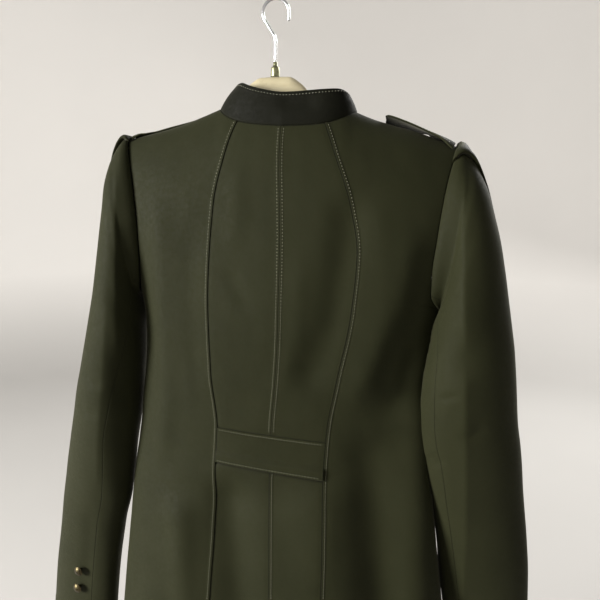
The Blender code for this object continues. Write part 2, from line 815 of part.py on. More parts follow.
def sleeve_point(hand, turn, row):
    """A point of the sleeve's outside in the garment frame, for the left side's sign of x."""
    point = sleeve_ring(hand, turn, row)
    if row < ARMHOLE_FADE_ROWS:
        share = 1 - smoothstep(row / ARMHOLE_FADE_ROWS)
        point += (armhole(hand, turn)[0] - sleeve_ring(hand, turn, 0)) * share
    top, under = sleeve_ends(hand, row)
    middle = (top + under) / 2
    point += (point - middle).normalized() * PLEAT_RISE * pleat_share(turn, row)
    twist = SLEEVE_TWIST[hand] * smoothstep((row - 8) / 5)
    if twist:
        away = point - middle
        point.x = middle.x + away.x * math.cos(twist) + away.y * math.sin(twist)
        point.y = middle.y - away.x * math.sin(twist) + away.y * math.cos(twist)
    clear = SLEEVE_CLEARANCE * smoothstep(row / 2)
    point.x = max(point.x, body_reach(hand, point.y, point.z) + clear)
    return point


def sleeve_frame(hand, turn, row):
    """Point and outward direction on a sleeve, away from the armhole's edge."""
    point = sleeve_point(hand, turn, row)
    low, high = max(row - 0.02, 0.0), min(row + 0.02, SLEEVE_ROWS)
    down = sleeve_point(hand, turn, high) - sleeve_point(hand, turn, low)
    round_it = sleeve_point(hand, turn + 0.02, row) - sleeve_point(hand, turn - 0.02, row)
    out = down.cross(round_it).normalized()
    if out.dot(point - sleeve_middle(hand, row)) < 0:
        out.negate()
    return point, out


def sleeve_middle(hand, row):
    return (sleeve_point(hand, math.pi / 2, row) + sleeve_point(hand, -math.pi / 2, row)) / 2


def mirrored(sign, vector):
    return Vector((sign * vector.x, vector.y, vector.z))


def sleeve_piece(name, sign, hand, turns_at, material, collection):
    """A wall on the sleeve; turns_at(row) gives the places of its columns."""
    outer, inner = [], []
    for row in range(SLEEVE_ROWS + 1):
        out_row, in_row = [], []
        for turn in turns_at(row):
            if row == 0:
                edge, normal, away = armhole(hand, turn)
                turned = abs((turn + math.pi) % (2 * math.pi) - math.pi)
                under = smoothstep((turned - math.radians(110)) / math.radians(55))
                gap = (away * (1 - under) + normal * under).normalized()
                point = edge + gap * SEAM_GAP
                wall_way = (normal * (under - 1) + away * under).normalized()
                inside = point + wall_way * WALL
            else:
                point, out = sleeve_frame(hand, turn, row)
                inside = point - out * WALL
            out_row.append(hang(mirrored(sign, point)))
            in_row.append(hang(mirrored(sign, inside)))
        outer.append(out_row)
        inner.append(in_row)
    outer = inset(outer, PANEL_INSET, "ew")
    inner = inset(inner, PANEL_INSET, "ew")
    return shell(name, outer, inner, material, collection)


def build_sleeves(cloth, collection):
    for sign, hand in ((1, "left"), (-1, "right")):

        def upper_turns(row):
            back = math.radians(SLEEVE.at("back_seam", row))
            front = -math.radians(SLEEVE.at("front_seam", row))
            turns = [front * share for share in UPPER_SHARES[:0:-1]]
            return turns + [back * share for share in UPPER_SHARES]

        def under_turns(row):
            back = math.radians(SLEEVE.at("back_seam", row))
            front = math.tau - math.radians(SLEEVE.at("front_seam", row))
            return [back + (front - back) * share for share in UNDER_SHARES]

        sleeve_piece(f"sleeve_upper_{hand}", sign, hand, upper_turns, cloth, collection)
        sleeve_piece(f"sleeve_under_{hand}", sign, hand, under_turns, cloth, collection)


def shoulder_z(x, y):
    """Height of the shoulder's outside over a place in plan, above its ridge's fall to front or back."""
    side = 1 if y >= 0 else -1
    low, high = ridge(x) - 0.08, ridge(x)
    for _ in range(40):
        z = (low + high) / 2
        if abs(body_y(side, x, z)) > abs(y):
            low = z
        else:
            high = z
    return high


def build_epaulettes(cloth, collection):
    places = (0.112, 0.1145, 0.121, 0.132, 0.150, 0.170, 0.182, 0.190)
    shares = (-1.0, -0.6, -0.2, 0.2, 0.6, 1.0)
    for sign, hand in ((1, "left"), (-1, "right")):
        upper, lower = [], []
        for place in places:
            top_row, low_row = [], []
            half = EPAULETTE.at("half_width", place)
            for share in shares:
                sewn = smoothstep((place - 0.160) / 0.030)
                y = EPAULETTE_MIDDLE[hand] * (1 - 0.6 * sewn) + half * share
                x = place - EPAULETTE_END_CURVE * sewn * (y / 0.0175) ** 2
                lift = EPAULETTE.at("lift", place) + EPAULETTE.at(f"{hand}_rise", place) * (1 - share) / 2
                droop = EPAULETTE_DROOP[hand] * share * share * (1 - sewn)
                flat = ridge(sign * x) - droop
                on_cloth = shoulder_z(sign * x, y)
                z = max(flat + (on_cloth - flat) * sewn, on_cloth) + lift
                low_row.append(hang((sign * x, y, z)))
                top_row.append(hang((sign * x, y, z + EPAULETTE_WALL)))
            upper.append(top_row)
            lower.append(low_row)
        shell(f"epaulette_{hand}", upper, lower, cloth, collection)


def turned(name, profile, material, collection, steps=12):
    """A turned solid from a profile of (radius, height), listed from its top down its outer side."""
    mesh = bpy.data.meshes.new(name)
    points = [(radius, 0.0, height) for radius, height in profile]
    mesh.from_pydata(points, [(k, k + 1) for k in range(len(points) - 1)], [])
    item = add_object(name, mesh, material, collection)
    screw = item.modifiers.new("turn", "SCREW")
    screw.axis = "Z"
    screw.steps = steps
    screw.render_steps = steps
    screw.use_merge_vertices = True
    screw.merge_threshold = 0.00001
    screw.use_smooth_shade = True
    return item


def place_button(name, point, normal, scales, material, collection):
    profile = [(radius * scales[0], height * scales[1]) for radius, height in BUTTON_PROFILE]
    button = turned(name, profile, material, collection, steps=10)
    button.location = point + normal * BUTTON_GAP
    button.rotation_mode = "QUATERNION"
    button.rotation_quaternion = normal.to_track_quat("Z", "Y")


def build_buttons(brass, collection):
    for number in range(FRONT_BUTTONS):
        z = FRONT_BUTTON_TOP - FRONT_BUTTON_PITCH * number
        normal = body_normal(-1, 0.0, z)
        point = Vector((0.0, body_y(-1, 0.0, z), z)) + normal * FRONT_STEP
        name = f"front_button_{number + 1}"
        place_button(name, hang(point), normal, FRONT_BUTTON_SCALE, brass, collection)
    for sign, hand in ((1, "left"), (-1, "right")):
        for number, z in enumerate(CUFF_BUTTON_HEIGHTS, start=1):
            row = next(r / 50 for r in range(50 * SLEEVE_ROWS) if sleeve_middle(hand, r / 50).z < z)
            turn = math.radians(SLEEVE.at("back_seam", row)) - CUFF_BUTTON_FROM_SEAM
            point, out = sleeve_frame(hand, turn, row)
            out = mirrored(sign, out)
            name = f"cuff_button_{hand}_{number}"
            place_button(name, hang(mirrored(sign, point)), out, (1.0, 1.0), brass, collection)


def build_hanger(wood, metal, collection):
    places = sorted({sign * row[0] for row in HANGER.rows for sign in (1, -1)})
    bm = bmesh.new()
    rings = []
    for x in places:
        half_height = HANGER.at("half_height", abs(x))
        half_depth = HANGER.at("half_depth", abs(x))
        middle = HANGER.at("top", abs(x)) - half_height + HANGER_TILT * x
        ring = []
        for k in range(HANGER_SIDES):
            turn = math.tau * k / HANGER_SIDES
            y, z = half_depth * math.sin(turn), middle + half_height * math.cos(turn)
            ring.append(bm.verts.new((x, y, z)))
        rings.append(ring)
    for first, second in zip(rings, rings[1:]):
        for k in range(HANGER_SIDES):
            after = (k + 1) % HANGER_SIDES
            bm.faces.new((first[k], first[after], second[after], second[k]))
    bm.faces.new(rings[0])
    bm.faces.new(rings[-1])
    add_object("hanger_body", finish_mesh("hanger_body", bm), wood, collection)
    turned("hanger_neck", NECK_PIECE_PROFILE, wood, collection)

    centre_z = WIRE_RADIUS - HOOK_RADIUS
    reach = centre_z - HOOK_KINK
    tangent = math.acos(HOOK_RADIUS / reach)
    points = [(0.0, HOOK_STEM_END), (0.0, HOOK_KINK - 0.008), (0.0, HOOK_KINK - 0.003)]
    start = (HOOK_RADIUS * math.sin(tangent), centre_z - HOOK_RADIUS * math.cos(tangent))
    for share in (0.06, 0.14, 0.4, 0.7):
        points.append((start[0] * share, HOOK_KINK + (start[1] - HOOK_KINK) * share))
    steps = 16
    first = tangent - math.pi / 2
    for k in range(steps + 1):
        turn = first + (math.pi - first) * k / steps
        points.append((HOOK_RADIUS * math.cos(turn), centre_z + HOOK_RADIUS * math.sin(turn)))
    points.append((-HOOK_RADIUS, centre_z - HOOK_TIP_DROP))
    curve = bpy.data.curves.new("hanger_hook", "CURVE")
    curve.dimensions = "3D"
    curve.bevel_depth = WIRE_RADIUS
    curve.bevel_resolution = 2
    curve.use_fill_caps = True
    spline = curve.splines.new("POLY")
    spline.points.add(len(points) - 1)
    for target, (x, z) in zip(spline.points, points):
        target.co = (x, 0.0, z, 1.0)
    add_object("hanger_hook", curve, metal, collection)


def make_material(name, colour, roughness, metallic=0.0):
    material = bpy.data.materials.new(name)
    material.use_nodes = True
    shader = material.node_tree.nodes["Principled BSDF"]
    shader.inputs["Base Color"].default_value = (*colour, 1.0)
    shader.inputs["Roughness"].default_value = roughness
    shader.inputs["Metallic"].default_value = metallic
    return material


def main():
    for item in list(bpy.data.objects):
        bpy.data.objects.remove(item, do_unlink=True)
    collection = bpy.data.collections.new(OBJECT_NAME)
    bpy.context.scene.collection.children.link(collection)
    cloth = make_material("olive_wool_twill", (0.045, 0.047, 0.026), 0.85)
    brass = make_material("antique_brass", (0.25, 0.19, 0.09), 0.35, 1.0)
    cream = make_material("cream_lacquered_wood", (0.72, 0.58, 0.36), 0.4)
    chrome = make_material("chromed_wire", (0.75, 0.76, 0.78), 0.15, 1.0)
    build_back(cloth, collection)
    build_front(cloth, collection)
    build_collar(cloth, collection)
    build_sleeves(cloth, collection)
    build_epaulettes(cloth, collection)
    build_buttons(brass, collection)
    build_hanger(cream, chrome, collection)


main()
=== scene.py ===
"""Looks of the longline military jacket on its hanger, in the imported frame's metres, +Z up.

The forms repeat the part's named sizes and tables, so each piece lies on its solid. What the
sewing and the hanging add is made here: turned edges, topstitching, creases, weave and sheen.
The jacket's back faces +Y and the wearer's left is +X. Cloth is worked out in the garment's
own frame, with its middle at x = 0, and hang() gives it the lean that it has on the hanger.
"""

import math
from collections import namedtuple

import bpy
import numpy as np
from mathutils import Matrix, Vector


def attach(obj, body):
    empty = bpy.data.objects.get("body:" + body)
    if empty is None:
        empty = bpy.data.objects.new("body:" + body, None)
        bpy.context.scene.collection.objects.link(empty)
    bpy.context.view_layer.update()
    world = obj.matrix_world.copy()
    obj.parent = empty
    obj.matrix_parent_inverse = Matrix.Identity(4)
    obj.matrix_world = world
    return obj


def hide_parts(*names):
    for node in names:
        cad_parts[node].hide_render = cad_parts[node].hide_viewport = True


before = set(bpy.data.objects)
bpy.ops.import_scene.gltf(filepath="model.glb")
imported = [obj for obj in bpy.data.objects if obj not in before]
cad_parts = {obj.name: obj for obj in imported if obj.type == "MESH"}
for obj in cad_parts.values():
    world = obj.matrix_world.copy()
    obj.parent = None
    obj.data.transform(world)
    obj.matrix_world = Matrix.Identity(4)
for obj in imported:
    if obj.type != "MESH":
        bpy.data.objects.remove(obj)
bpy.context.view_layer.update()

# How the jacket hangs
TILT = 0.018

# Heights that the pieces share
UNDERARM = -0.342
HEM = -0.985
BELT_TOP = -0.4963
BELT_BOTTOM = -0.5405
BELT_TOP_SLOPE = 0.046
BELT_BOTTOM_SLOPE = 0.070

# Shoulder, neck and collar
NECK_HALF = 0.080
SHOULDER_HALF = 0.1935
SHOULDER_ROUND = 0.110
SIDE_POWER = 0.8
COLLAR_WALL = 0.003
COLLAR_HEIGHT = 0.040

# Front opening
FRONT_OVERLAP = 0.018
FRONT_STEP = 0.0015
FRONT_BUTTONS = 7
FRONT_BUTTON_TOP = -0.222
FRONT_BUTTON_PITCH = 0.074
FRONT_BUTTON_SCALE = (1.45, 1.10)

# Sleeves
SLEEVE_ROWS = 19
ARMHOLE_FADE_ROWS = 4
ARMHOLE_MIDDLE = 0.189
SLEEVE_TWIST = {"left": math.radians(20), "right": 0.0}
SLEEVE_CLEARANCE = 0.0015
CUFF_BUTTON_HEIGHTS = (-0.722, -0.750)
CUFF_BUTTON_FROM_SEAM = math.radians(22)

# Sleeve head pleats: how far the middle stands out, and the turn of each ledge on the back and front
PLEAT_RISE = 0.0040
PLEAT_TURN = {"left": (18, 36), "right": (38, 38)}
PLEAT_GAPE = 0.0010
LEDGE_ROUND = 0.0013
LEDGE_DEPTH = 0.0012

# Belt, the gap that seams keep, and the round of sewn and folded edges
BELT_RISE = 0.0008
SEAM_GAP = 0.0003
SEAM_ROUND = 0.0004
FOLD_ROUND = 0.0010

# Topstitching
STITCH_PITCH = 0.0036
STITCH_LENGTH = 0.0016
THREAD_RADIUS = 0.00042
STITCH_DIMPLE = 0.00022
STITCH_PUCKER = 0.00016
COLLAR_STITCH = 0.0042

# Distance over which a welt falls off, how a crease ends, and how round a sharp one is
WELT_FADE = 0.0016
CREASE_FADE = 0.045
SHARP_ROUND = 0.0012

# Hook wire and buttons
WIRE_RADIUS = 0.0017
HOOK_RADIUS = 0.0150
HOOK_KINK = -0.0406
HOOK_STEM_END = -0.0664
HOOK_TIP_DROP = 0.008
BUTTON_GAP = 0.0005

# Hanger: its tilt, its tips and where their rounding starts, and where its straight stretch ends
HANGER_TILT = -0.026
HANGER_TIP = 0.1716
HANGER_TIP_START = 0.1640
HANGER_TIP_ROUND = 0.008
HANGER_STRAIGHT = 0.160

# Camera and the room: its floor, its radius, the bend between floor and wall, and the wall's top
CAMERA_PLACE = (-0.159, 0.7507, -0.2138)
CAMERA_YAW = 9.5
CAMERA_PITCH = 9.5
CAMERA_ROLL = 1.0
CAMERA_LENS = 38.4
ROOM_FLOOR = -1.25
ROOM_RADIUS = 4.4
ROOM_BEND = 1.4
ROOM_TOP = 2.6

# Lights: place, what it aims at, size, power and colour
LIGHTS = {
    "key": ((2.9, 1.85, 0.1), (0.0, 0.0, -0.5), 1.3, 395.0, (1.0, 0.985, 0.96)),
    "fill": ((-1.6, -2.6, 1.3), (0.0, 0.0, -0.4), 1.6, 150.0, (1.0, 0.99, 0.97)),
}

# Colours of the wool: most of it, its lighter fibres and its darker ones
WOOL = (0.0108, 0.0116, 0.0038)
WOOL_LIGHT = (0.0145, 0.0153, 0.0060)
WOOL_DARK = (0.0082, 0.0090, 0.0026)
# Painted shade: the collar's copy of the wool is darkened by this share
COLLAR_PAINTED_SHADE = 0.24

# Metals: colour, tarnish, smoothest and roughest polish, scale of the patches, depth of the tarnish
METALS = {
    "antique_brass": ((0.075, 0.062, 0.032), (0.014, 0.012, 0.007), 0.30, 0.5, 420.0, 0.85),
    "dull_brass": ((0.26, 0.26, 0.15), (0.10, 0.10, 0.06), 0.3, 0.5, 300.0, 0.7),
    "chromed_wire": ((0.62, 0.63, 0.65), (0.30, 0.30, 0.31), 0.10, 0.24, 380.0, 0.5),
}

SIGN = {"left": 1, "right": -1}


class Table:
    """Rows of named columns, read as smooth curves along the first column."""

    def __init__(self, names, *rows):
        grid = np.array(sorted(rows), dtype=float)
        self.keys = grid[:, 0]
        self.curves = {}
        for name, values in zip(names.split()[1:], grid.T[1:]):
            steps = np.diff(values) / np.diff(self.keys)
            before, after = steps[:-1], steps[1:]
            slopes = np.zeros(len(values))
            slopes[0], slopes[-1] = steps[0], steps[-1]
            both = before * after > 0
            slopes[1:-1][both] = 2 * before[both] * after[both] / (before[both] + after[both])
            self.curves[name] = (values, slopes)

    def at(self, name, place):
        values, slopes = self.curves[name]
        place = np.clip(place, self.keys[0], self.keys[-1])
        low = np.clip(np.searchsorted(self.keys, place, side="right") - 1, 0, len(self.keys) - 2)
        span = self.keys[low + 1] - self.keys[low]
        t = (place - self.keys[low]) / span
        return (
            values[low] * (1 + 2 * t) * (1 - t) ** 2
            + slopes[low] * span * t * (1 - t) ** 2
            + values[low + 1] * t * t * (3 - 2 * t)
            + slopes[low + 1] * span * t * t * (t - 1)
        )


# Sideways place of the garment's middle, which slid to the wearer's right at the neck
SWAY = Table(
    "height shift",
    (-0.100, -0.0155),
    (-0.160, -0.0160),
    (-0.222, -0.0190),
    (-0.276, -0.0205),
    (-0.367, -0.0190),
    (-0.427, -0.0155),
    (-0.484, -0.0105),
    (-0.547, -0.0090),
    (-0.602, -0.0105),
    (-0.700, -0.0125),
    (-0.985, -0.0130),
)

# Half sections of the torso; above the underarm the half width is where the curve would close
BODY = Table(
    "height half_width back front",
    (-0.100, 0.2360, 0.0500, 0.0440),
    (-0.150, 0.2320, 0.0530, 0.0470),
    (-0.200, 0.2220, 0.0580, 0.0540),
    (-0.250, 0.2100, 0.0620, 0.0610),
    (-0.300, 0.1960, 0.0640, 0.0670),
    (-0.342, 0.1850, 0.0630, 0.0700),
    (-0.370, 0.1800, 0.0610, 0.0700),
    (-0.420, 0.1780, 0.0560, 0.0660),
    (-0.480, 0.1790, 0.0510, 0.0600),
    (-0.530, 0.1830, 0.0500, 0.0570),
    (-0.570, 0.1895, 0.0530, 0.0580),
    (-0.620, 0.1960, 0.0590, 0.0610),
    (-0.700, 0.2060, 0.0650, 0.0650),
    (-0.790, 0.2150, 0.0690, 0.0680),
    (-0.985, 0.2300, 0.0740, 0.0720),
)

# Height of each shoulder's ridge, from the middle of the neck out to the sleeve
SHOULDER = Table(
    "from_middle left right",
    (0.000, -0.1050, -0.1050),
    (0.040, -0.1080, -0.1080),
    (0.065, -0.1135, -0.1135),
    (0.080, -0.1208, -0.1208),
    (0.100, -0.1292, -0.1286),
    (0.120, -0.1368, -0.1342),
    (0.145, -0.1440, -0.1405),
    (0.165, -0.1496, -0.1470),
    (0.1935, -0.1570, -0.1570),
    (0.240, -0.1750, -0.1750),
)

BACK_NECK = Table(
    "from_middle height",
    (0.000, -0.1420),
    (0.031, -0.1398),
    (0.050, -0.1365),
    (0.068, -0.1295),
    (0.080, -0.1208),
)

FRONT_NECK = Table(
    "from_middle height",
    (0.000, -0.1950),
    (0.025, -0.1900),
    (0.048, -0.1740),
    (0.066, -0.1510),
    (0.077, -0.1305),
    (0.080, -0.1208),
)

ARMHOLE = Table(
    "height back_left back_right front",
    (-0.1570, 0.1935, 0.1935, 0.1935),
    (-0.1850, 0.1860, 0.1835, 0.1800),
    (-0.2180, 0.1800, 0.1755, 0.1700),
    (-0.2600, 0.1765, 0.1690, 0.1650),
    (-0.2950, 0.1765, 0.1655, 0.1660),
    (-0.3200, 0.1785, 0.1660, 0.1715),
    (-0.3350, 0.1820, 0.1740, 0.1790),
    (-0.3420, 0.1850, 0.1850, 0.1850),
)

# Princess seams: distance from the middle on each half of the back, and on both halves of the front
PRINCESS = Table(
    "height back_left back_right front",
    (-0.1208, 0.0400, 0.0400, 0.1220),
    (-0.1370, 0.0520, 0.0480, 0.1210),
    (-0.1800, 0.0650, 0.0640, 0.1150),
    (-0.2230, 0.0756, 0.0770, 0.1080),
    (-0.2780, 0.0818, 0.0850, 0.1010),
    (-0.3400, 0.0840, 0.0815, 0.0950),
    (-0.4250, 0.0790, 0.0700, 0.0830),
    (-0.4940, 0.0665, 0.0650, 0.0760),
    (-0.5400, 0.0680, 0.0640, 0.0780),
    (-0.6200, 0.0705, 0.0640, 0.0840),
    (-0.7000, 0.0750, 0.0630, 0.0900),
    (-0.9850, 0.0830, 0.0700, 0.1040),
)

# Largest soft folds: place across, where each starts, its half width, and how far out it stands at the hem
BACK_FOLDS = (
    # across, start, half_width, rise
    (0.098, -0.530, 0.017, -0.0060),
    (0.146, -0.560, 0.024, 0.0060),
    (-0.024, -0.600, 0.026, 0.0040),
    (-0.098, -0.600, 0.020, 0.0050),
    (-0.140, -0.560, 0.022, -0.0045),
)
FRONT_FOLDS = (
    (0.128, -0.540, 0.022, 0.0060),
    (0.070, -0.600, 0.024, -0.0045),
    (-0.074, -0.560, 0.022, 0.0055),
    (-0.132, -0.600, 0.022, -0.0045),
)

# Stand collar: angle round the neck from the middle back, the wearer's left positive, and its top edge
COLLAR_TOP = Table(
    "angle x y z",
    (-180, -0.0020, -0.0520, -0.1585),
    (-150, -0.0320, -0.0450, -0.1470),
    (-120, -0.0600, -0.0290, -0.1270),
    (-90, -0.0715, -0.0030, -0.1080),
    (-75, -0.0700, 0.0120, -0.1015),
    (-60, -0.0620, 0.0240, -0.0988),
    (-40, -0.0440, 0.0320, -0.1005),
    (0, 0.0000, 0.0350, -0.1042),
    (25, 0.0220, 0.0340, -0.1015),
    (45, 0.0390, 0.0290, -0.0970),
    (60, 0.0500, 0.0200, -0.0928),
    (75, 0.0565, 0.0080, -0.0925),
    (90, 0.0605, -0.0060, -0.0985),
    (120, 0.0510, -0.0310, -0.1200),
    (150, 0.0270, -0.0460, -0.1440),
    (180, 0.0020, -0.0520, -0.1585),
)
COLLAR_END_ANGLE = 176

# Sleeve rings: the ring's top or outer point, its under or inner point, its depths and seam angles
SLEEVE = Table(
    "row top_x top_z under_x under_z back front middle_y back_seam front_seam",
    (0, 0.1935, -0.1570, 0.1850, -0.3420, 0.037, 0.041, 0.000, 140, 150),
    (1, 0.1950, -0.1545, 0.1865, -0.3445, 0.041, 0.044, 0.000, 140, 150),
    (2, 0.1985, -0.1555, 0.1868, -0.3465, 0.044, 0.047, 0.000, 140, 150),
    (3, 0.2055, -0.1640, 0.1850, -0.3495, 0.046, 0.049, 0.000, 141, 150),
    (4, 0.2140, -0.1780, 0.1800, -0.3535, 0.048, 0.050, 0.004, 142, 150),
    (5, 0.2230, -0.1980, 0.1750, -0.3590, 0.049, 0.051, 0.008, 142, 150),
    (6, 0.2305, -0.2250, 0.1690, -0.3660, 0.050, 0.051, 0.012, 142, 149),
    (7, 0.2375, -0.2550, 0.1640, -0.3770, 0.050, 0.051, 0.016, 141, 148),
    (8, 0.2440, -0.2880, 0.1615, -0.3920, 0.050, 0.050, 0.019, 139, 147),
    (9, 0.2510, -0.3250, 0.1610, -0.4120, 0.049, 0.049, 0.021, 137, 146),
    (10, 0.2595, -0.3650, 0.1620, -0.4370, 0.048, 0.048, 0.021, 136, 145),
    (11, 0.2685, -0.4070, 0.1655, -0.4670, 0.046, 0.046, 0.019, 134, 145),
    (12, 0.2775, -0.4500, 0.1725, -0.5010, 0.044, 0.044, 0.015, 132, 145),
    (13, 0.2880, -0.4950, 0.1825, -0.5360, 0.041, 0.042, 0.010, 130, 145),
    (14, 0.2955, -0.5400, 0.1890, -0.5730, 0.038, 0.039, 0.005, 130, 145),
    (15, 0.3020, -0.5880, 0.1940, -0.6120, 0.035, 0.036, 0.000, 129, 145),
    (16, 0.3075, -0.6400, 0.2005, -0.6580, 0.032, 0.033, -0.005, 128, 145),
    (17, 0.3120, -0.6940, 0.2085, -0.7080, 0.029, 0.030, -0.010, 127, 145),
    (18, 0.3165, -0.7500, 0.2160, -0.7640, 0.027, 0.028, -0.014, 126, 145),
    (19, 0.3220, -0.8080, 0.2225, -0.8210, 0.026, 0.027, -0.018, 126, 145),
)

# How much further out the wearer's right sleeve's inner edge lies, at its rows
RIGHT_SLEEVE = Table(
    "row inner",
    (0, 0.0),
    (1, -0.0005),
    (2, -0.0030),
    (3, -0.0065),
    (4, -0.0065),
    (5, -0.0045),
    (6, 0.0),
    (7, 0.0050),
    (8, 0.0065),
    (9, 0.0060),
    (10, 0.0050),
    (11, 0.0035),
    (12, 0.0015),
    (13, 0.0),
    (19, 0.0),
)

# How the left sleeve's rings differ from the right one's
LEFT_SLEEVE = Table(
    "row outer inner forward",
    (3, 0.0000, 0.0000, 0.0000),
    (4, -0.0005, 0.0040, -0.0030),
    (5, -0.0018, 0.0080, -0.0060),
    (6, -0.0046, 0.0140, -0.0090),
    (8, -0.0085, 0.0225, -0.0130),
    (10, -0.0130, 0.0215, -0.0140),
    (12, -0.0150, 0.0120, -0.0110),
    (13, -0.0175, 0.0060, -0.0080),
    (14, -0.0150, 0.0030, -0.0050),
    (15, -0.0085, 0.0025, -0.0020),
    (16, -0.0020, 0.0085, 0.0000),
    (17, 0.0060, 0.0100, 0.0000),
    (18, 0.0140, 0.0090, 0.0000),
    (19, 0.0180, 0.0080, 0.0000),
)

# Epaulette: its height over the shoulder, how much higher its front edge stands, and its half width
EPAULETTE = Table(
    "from_middle left_lift right_lift left_rise right_rise half_width",
    (0.1120, 0.0020, 0.0085, 0.0020, -0.0085, 0.0060),
    (0.1145, 0.0020, 0.0085, 0.0020, -0.0085, 0.0130),
    (0.1210, 0.0022, 0.0082, 0.0018, -0.0080, 0.0180),
    (0.1320, 0.0024, 0.0070, 0.0010, -0.0060, 0.0190),
    (0.1500, 0.0022, 0.0046, 0.0000, -0.0020, 0.0195),
    (0.1700, 0.0020, 0.0026, 0.0000, 0.0030, 0.0190),
    (0.1820, 0.0017, 0.0018, 0.0000, 0.0020, 0.0180),
    (0.1900, 0.0010, 0.0010, 0.0000, 0.0000, 0.0175),
)
EPAULETTE_MIDDLE = {"left": -0.021, "right": -0.012}
EPAULETTE_DROOP = {"left": 0.0080, "right": 0.0010}
EPAULETTE_START = 0.112
EPAULETTE_LENGTH = 0.078
EPAULETTE_WIDTH = 0.037
EPAULETTE_END_CURVE = 0.0070
EPAULETTE_WALL = 0.0022

# Hanger: its top edge and half its height and depth, from the middle out to a tip
HANGER = Table(
    "from_middle top half_height half_depth",
    (0.000, -0.0830, 0.0150, 0.0075),
    (0.016, -0.0834, 0.0150, 0.0075),
    (0.030, -0.0910, 0.0145, 0.0068),
    (0.042, -0.1030, 0.0135, 0.0062),
    (0.052, -0.1151, 0.0130, 0.0060),
    (0.0645, -0.1272, 0.0125, 0.0065),
    (0.080, -0.1300, 0.0130, 0.0080),
    (0.100, -0.1337, 0.0130, 0.0090),
    (0.130, -0.1420, 0.0125, 0.0100),
    (0.160, -0.1508, 0.0115, 0.0105),
    (0.170, -0.1546, 0.0080, 0.0080),
)

# The hanger's neck piece, from its top down
NECK_PIECE_PROFILE = (
    # radius, height
    (0.0, -0.0667),
    (0.0019, -0.0667),
    (0.0023, -0.0670),
    (0.0025, -0.0700),
    (0.0028, -0.0716),
    (0.0040, -0.0722),
    (0.0046, -0.0730),
    (0.0049, -0.0745),
    (0.0051, -0.0780),
    (0.0052, -0.0827),
)

# Creases: half width and rise of each, a trough where it is negative, then its line of
# (x, z) places on the hung cloth. A sharp one has a narrow crest or bottom.
BACK_CREASES = (
    (
        "soft", 0.0200, -0.0052,
        (-0.0964, -0.1992), (-0.0949, -0.2685), (-0.0797, -0.3576), (-0.0442, -0.4489),
    ),
    (
        "soft", 0.0200, 0.0024,
        (-0.1402, -0.2302), (-0.1355, -0.328), (-0.1142, -0.4216), (-0.0883, -0.4775),
    ),
    ("soft", 0.0120, 0.0015, (0.0334, -0.1682), (0.0303, -0.2227), (0.034, -0.2889)),
    ("soft", 0.0110, -0.0014, (0.0458, -0.2917), (0.027, -0.3225), (0.0132, -0.3562)),
    ("soft", 0.0140, 0.0026, (0.1239, -0.2133), (0.1262, -0.3415), (0.1259, -0.4666), (0.1339, -0.558)),
    ("soft", 0.0140, -0.0018, (0.0848, -0.2349), (0.0867, -0.3498), (0.0831, -0.4604)),
    (
        "soft", 0.0170, 0.0034,
        (-0.168, -0.2351), (-0.1528, -0.328), (-0.1144, -0.4276), (-0.1016, -0.4585),
    ),
    ("soft", 0.0150, -0.0026, (-0.1819, -0.3636), (-0.1628, -0.4343), (-0.1364, -0.4828)),
    ("soft", 0.0110, 0.0010, (-0.0429, -0.2752), (-0.0397, -0.365), (-0.0209, -0.4504)),
    ("soft", 0.0220, 0.0085, (0.1107, -0.5712), (0.1024, -0.6277), (0.0949, -0.7152), (0.088, -0.940)),
    ("soft", 0.0270, -0.0105, (0.048, -0.5400), (0.037, -0.6192), (0.027, -0.7045), (0.018, -0.940)),
    (
        "soft", 0.0420, 0.0085,
        (-0.0645, -0.5400), (-0.0737, -0.6059), (-0.0813, -0.6887), (-0.088, -0.940),
    ),
    (
        "soft", 0.0240, -0.0062,
        (-0.1208, -0.4800), (-0.1304, -0.5683), (-0.1423, -0.6873), (-0.150, -0.940),
    ),
    (
        "soft", 0.0240, 0.0115,
        (-0.180, -0.4300), (-0.1848, -0.5122), (-0.1863, -0.5961),
        (-0.1893, -0.6885), (-0.195, -0.940),
    ),
)
FRONT_CREASES = (
    ("soft", 0.0180, -0.0028, (0.130, -0.250), (0.108, -0.330), (0.070, -0.440)),
    ("soft", 0.0170, 0.0018, (0.060, -0.240), (0.052, -0.360), (0.048, -0.470)),
    ("soft", 0.0180, -0.0026, (-0.150, -0.270), (-0.120, -0.350), (-0.080, -0.460)),
    ("soft", 0.0160, 0.0018, (-0.060, -0.260), (-0.064, -0.380), (-0.070, -0.480)),
    ("soft", 0.0150, -0.0020, (0.040, -0.560), (0.046, -0.700), (0.050, -0.860)),
    ("soft", 0.0150, -0.0018, (-0.048, -0.600), (-0.060, -0.720), (-0.066, -0.900)),
)
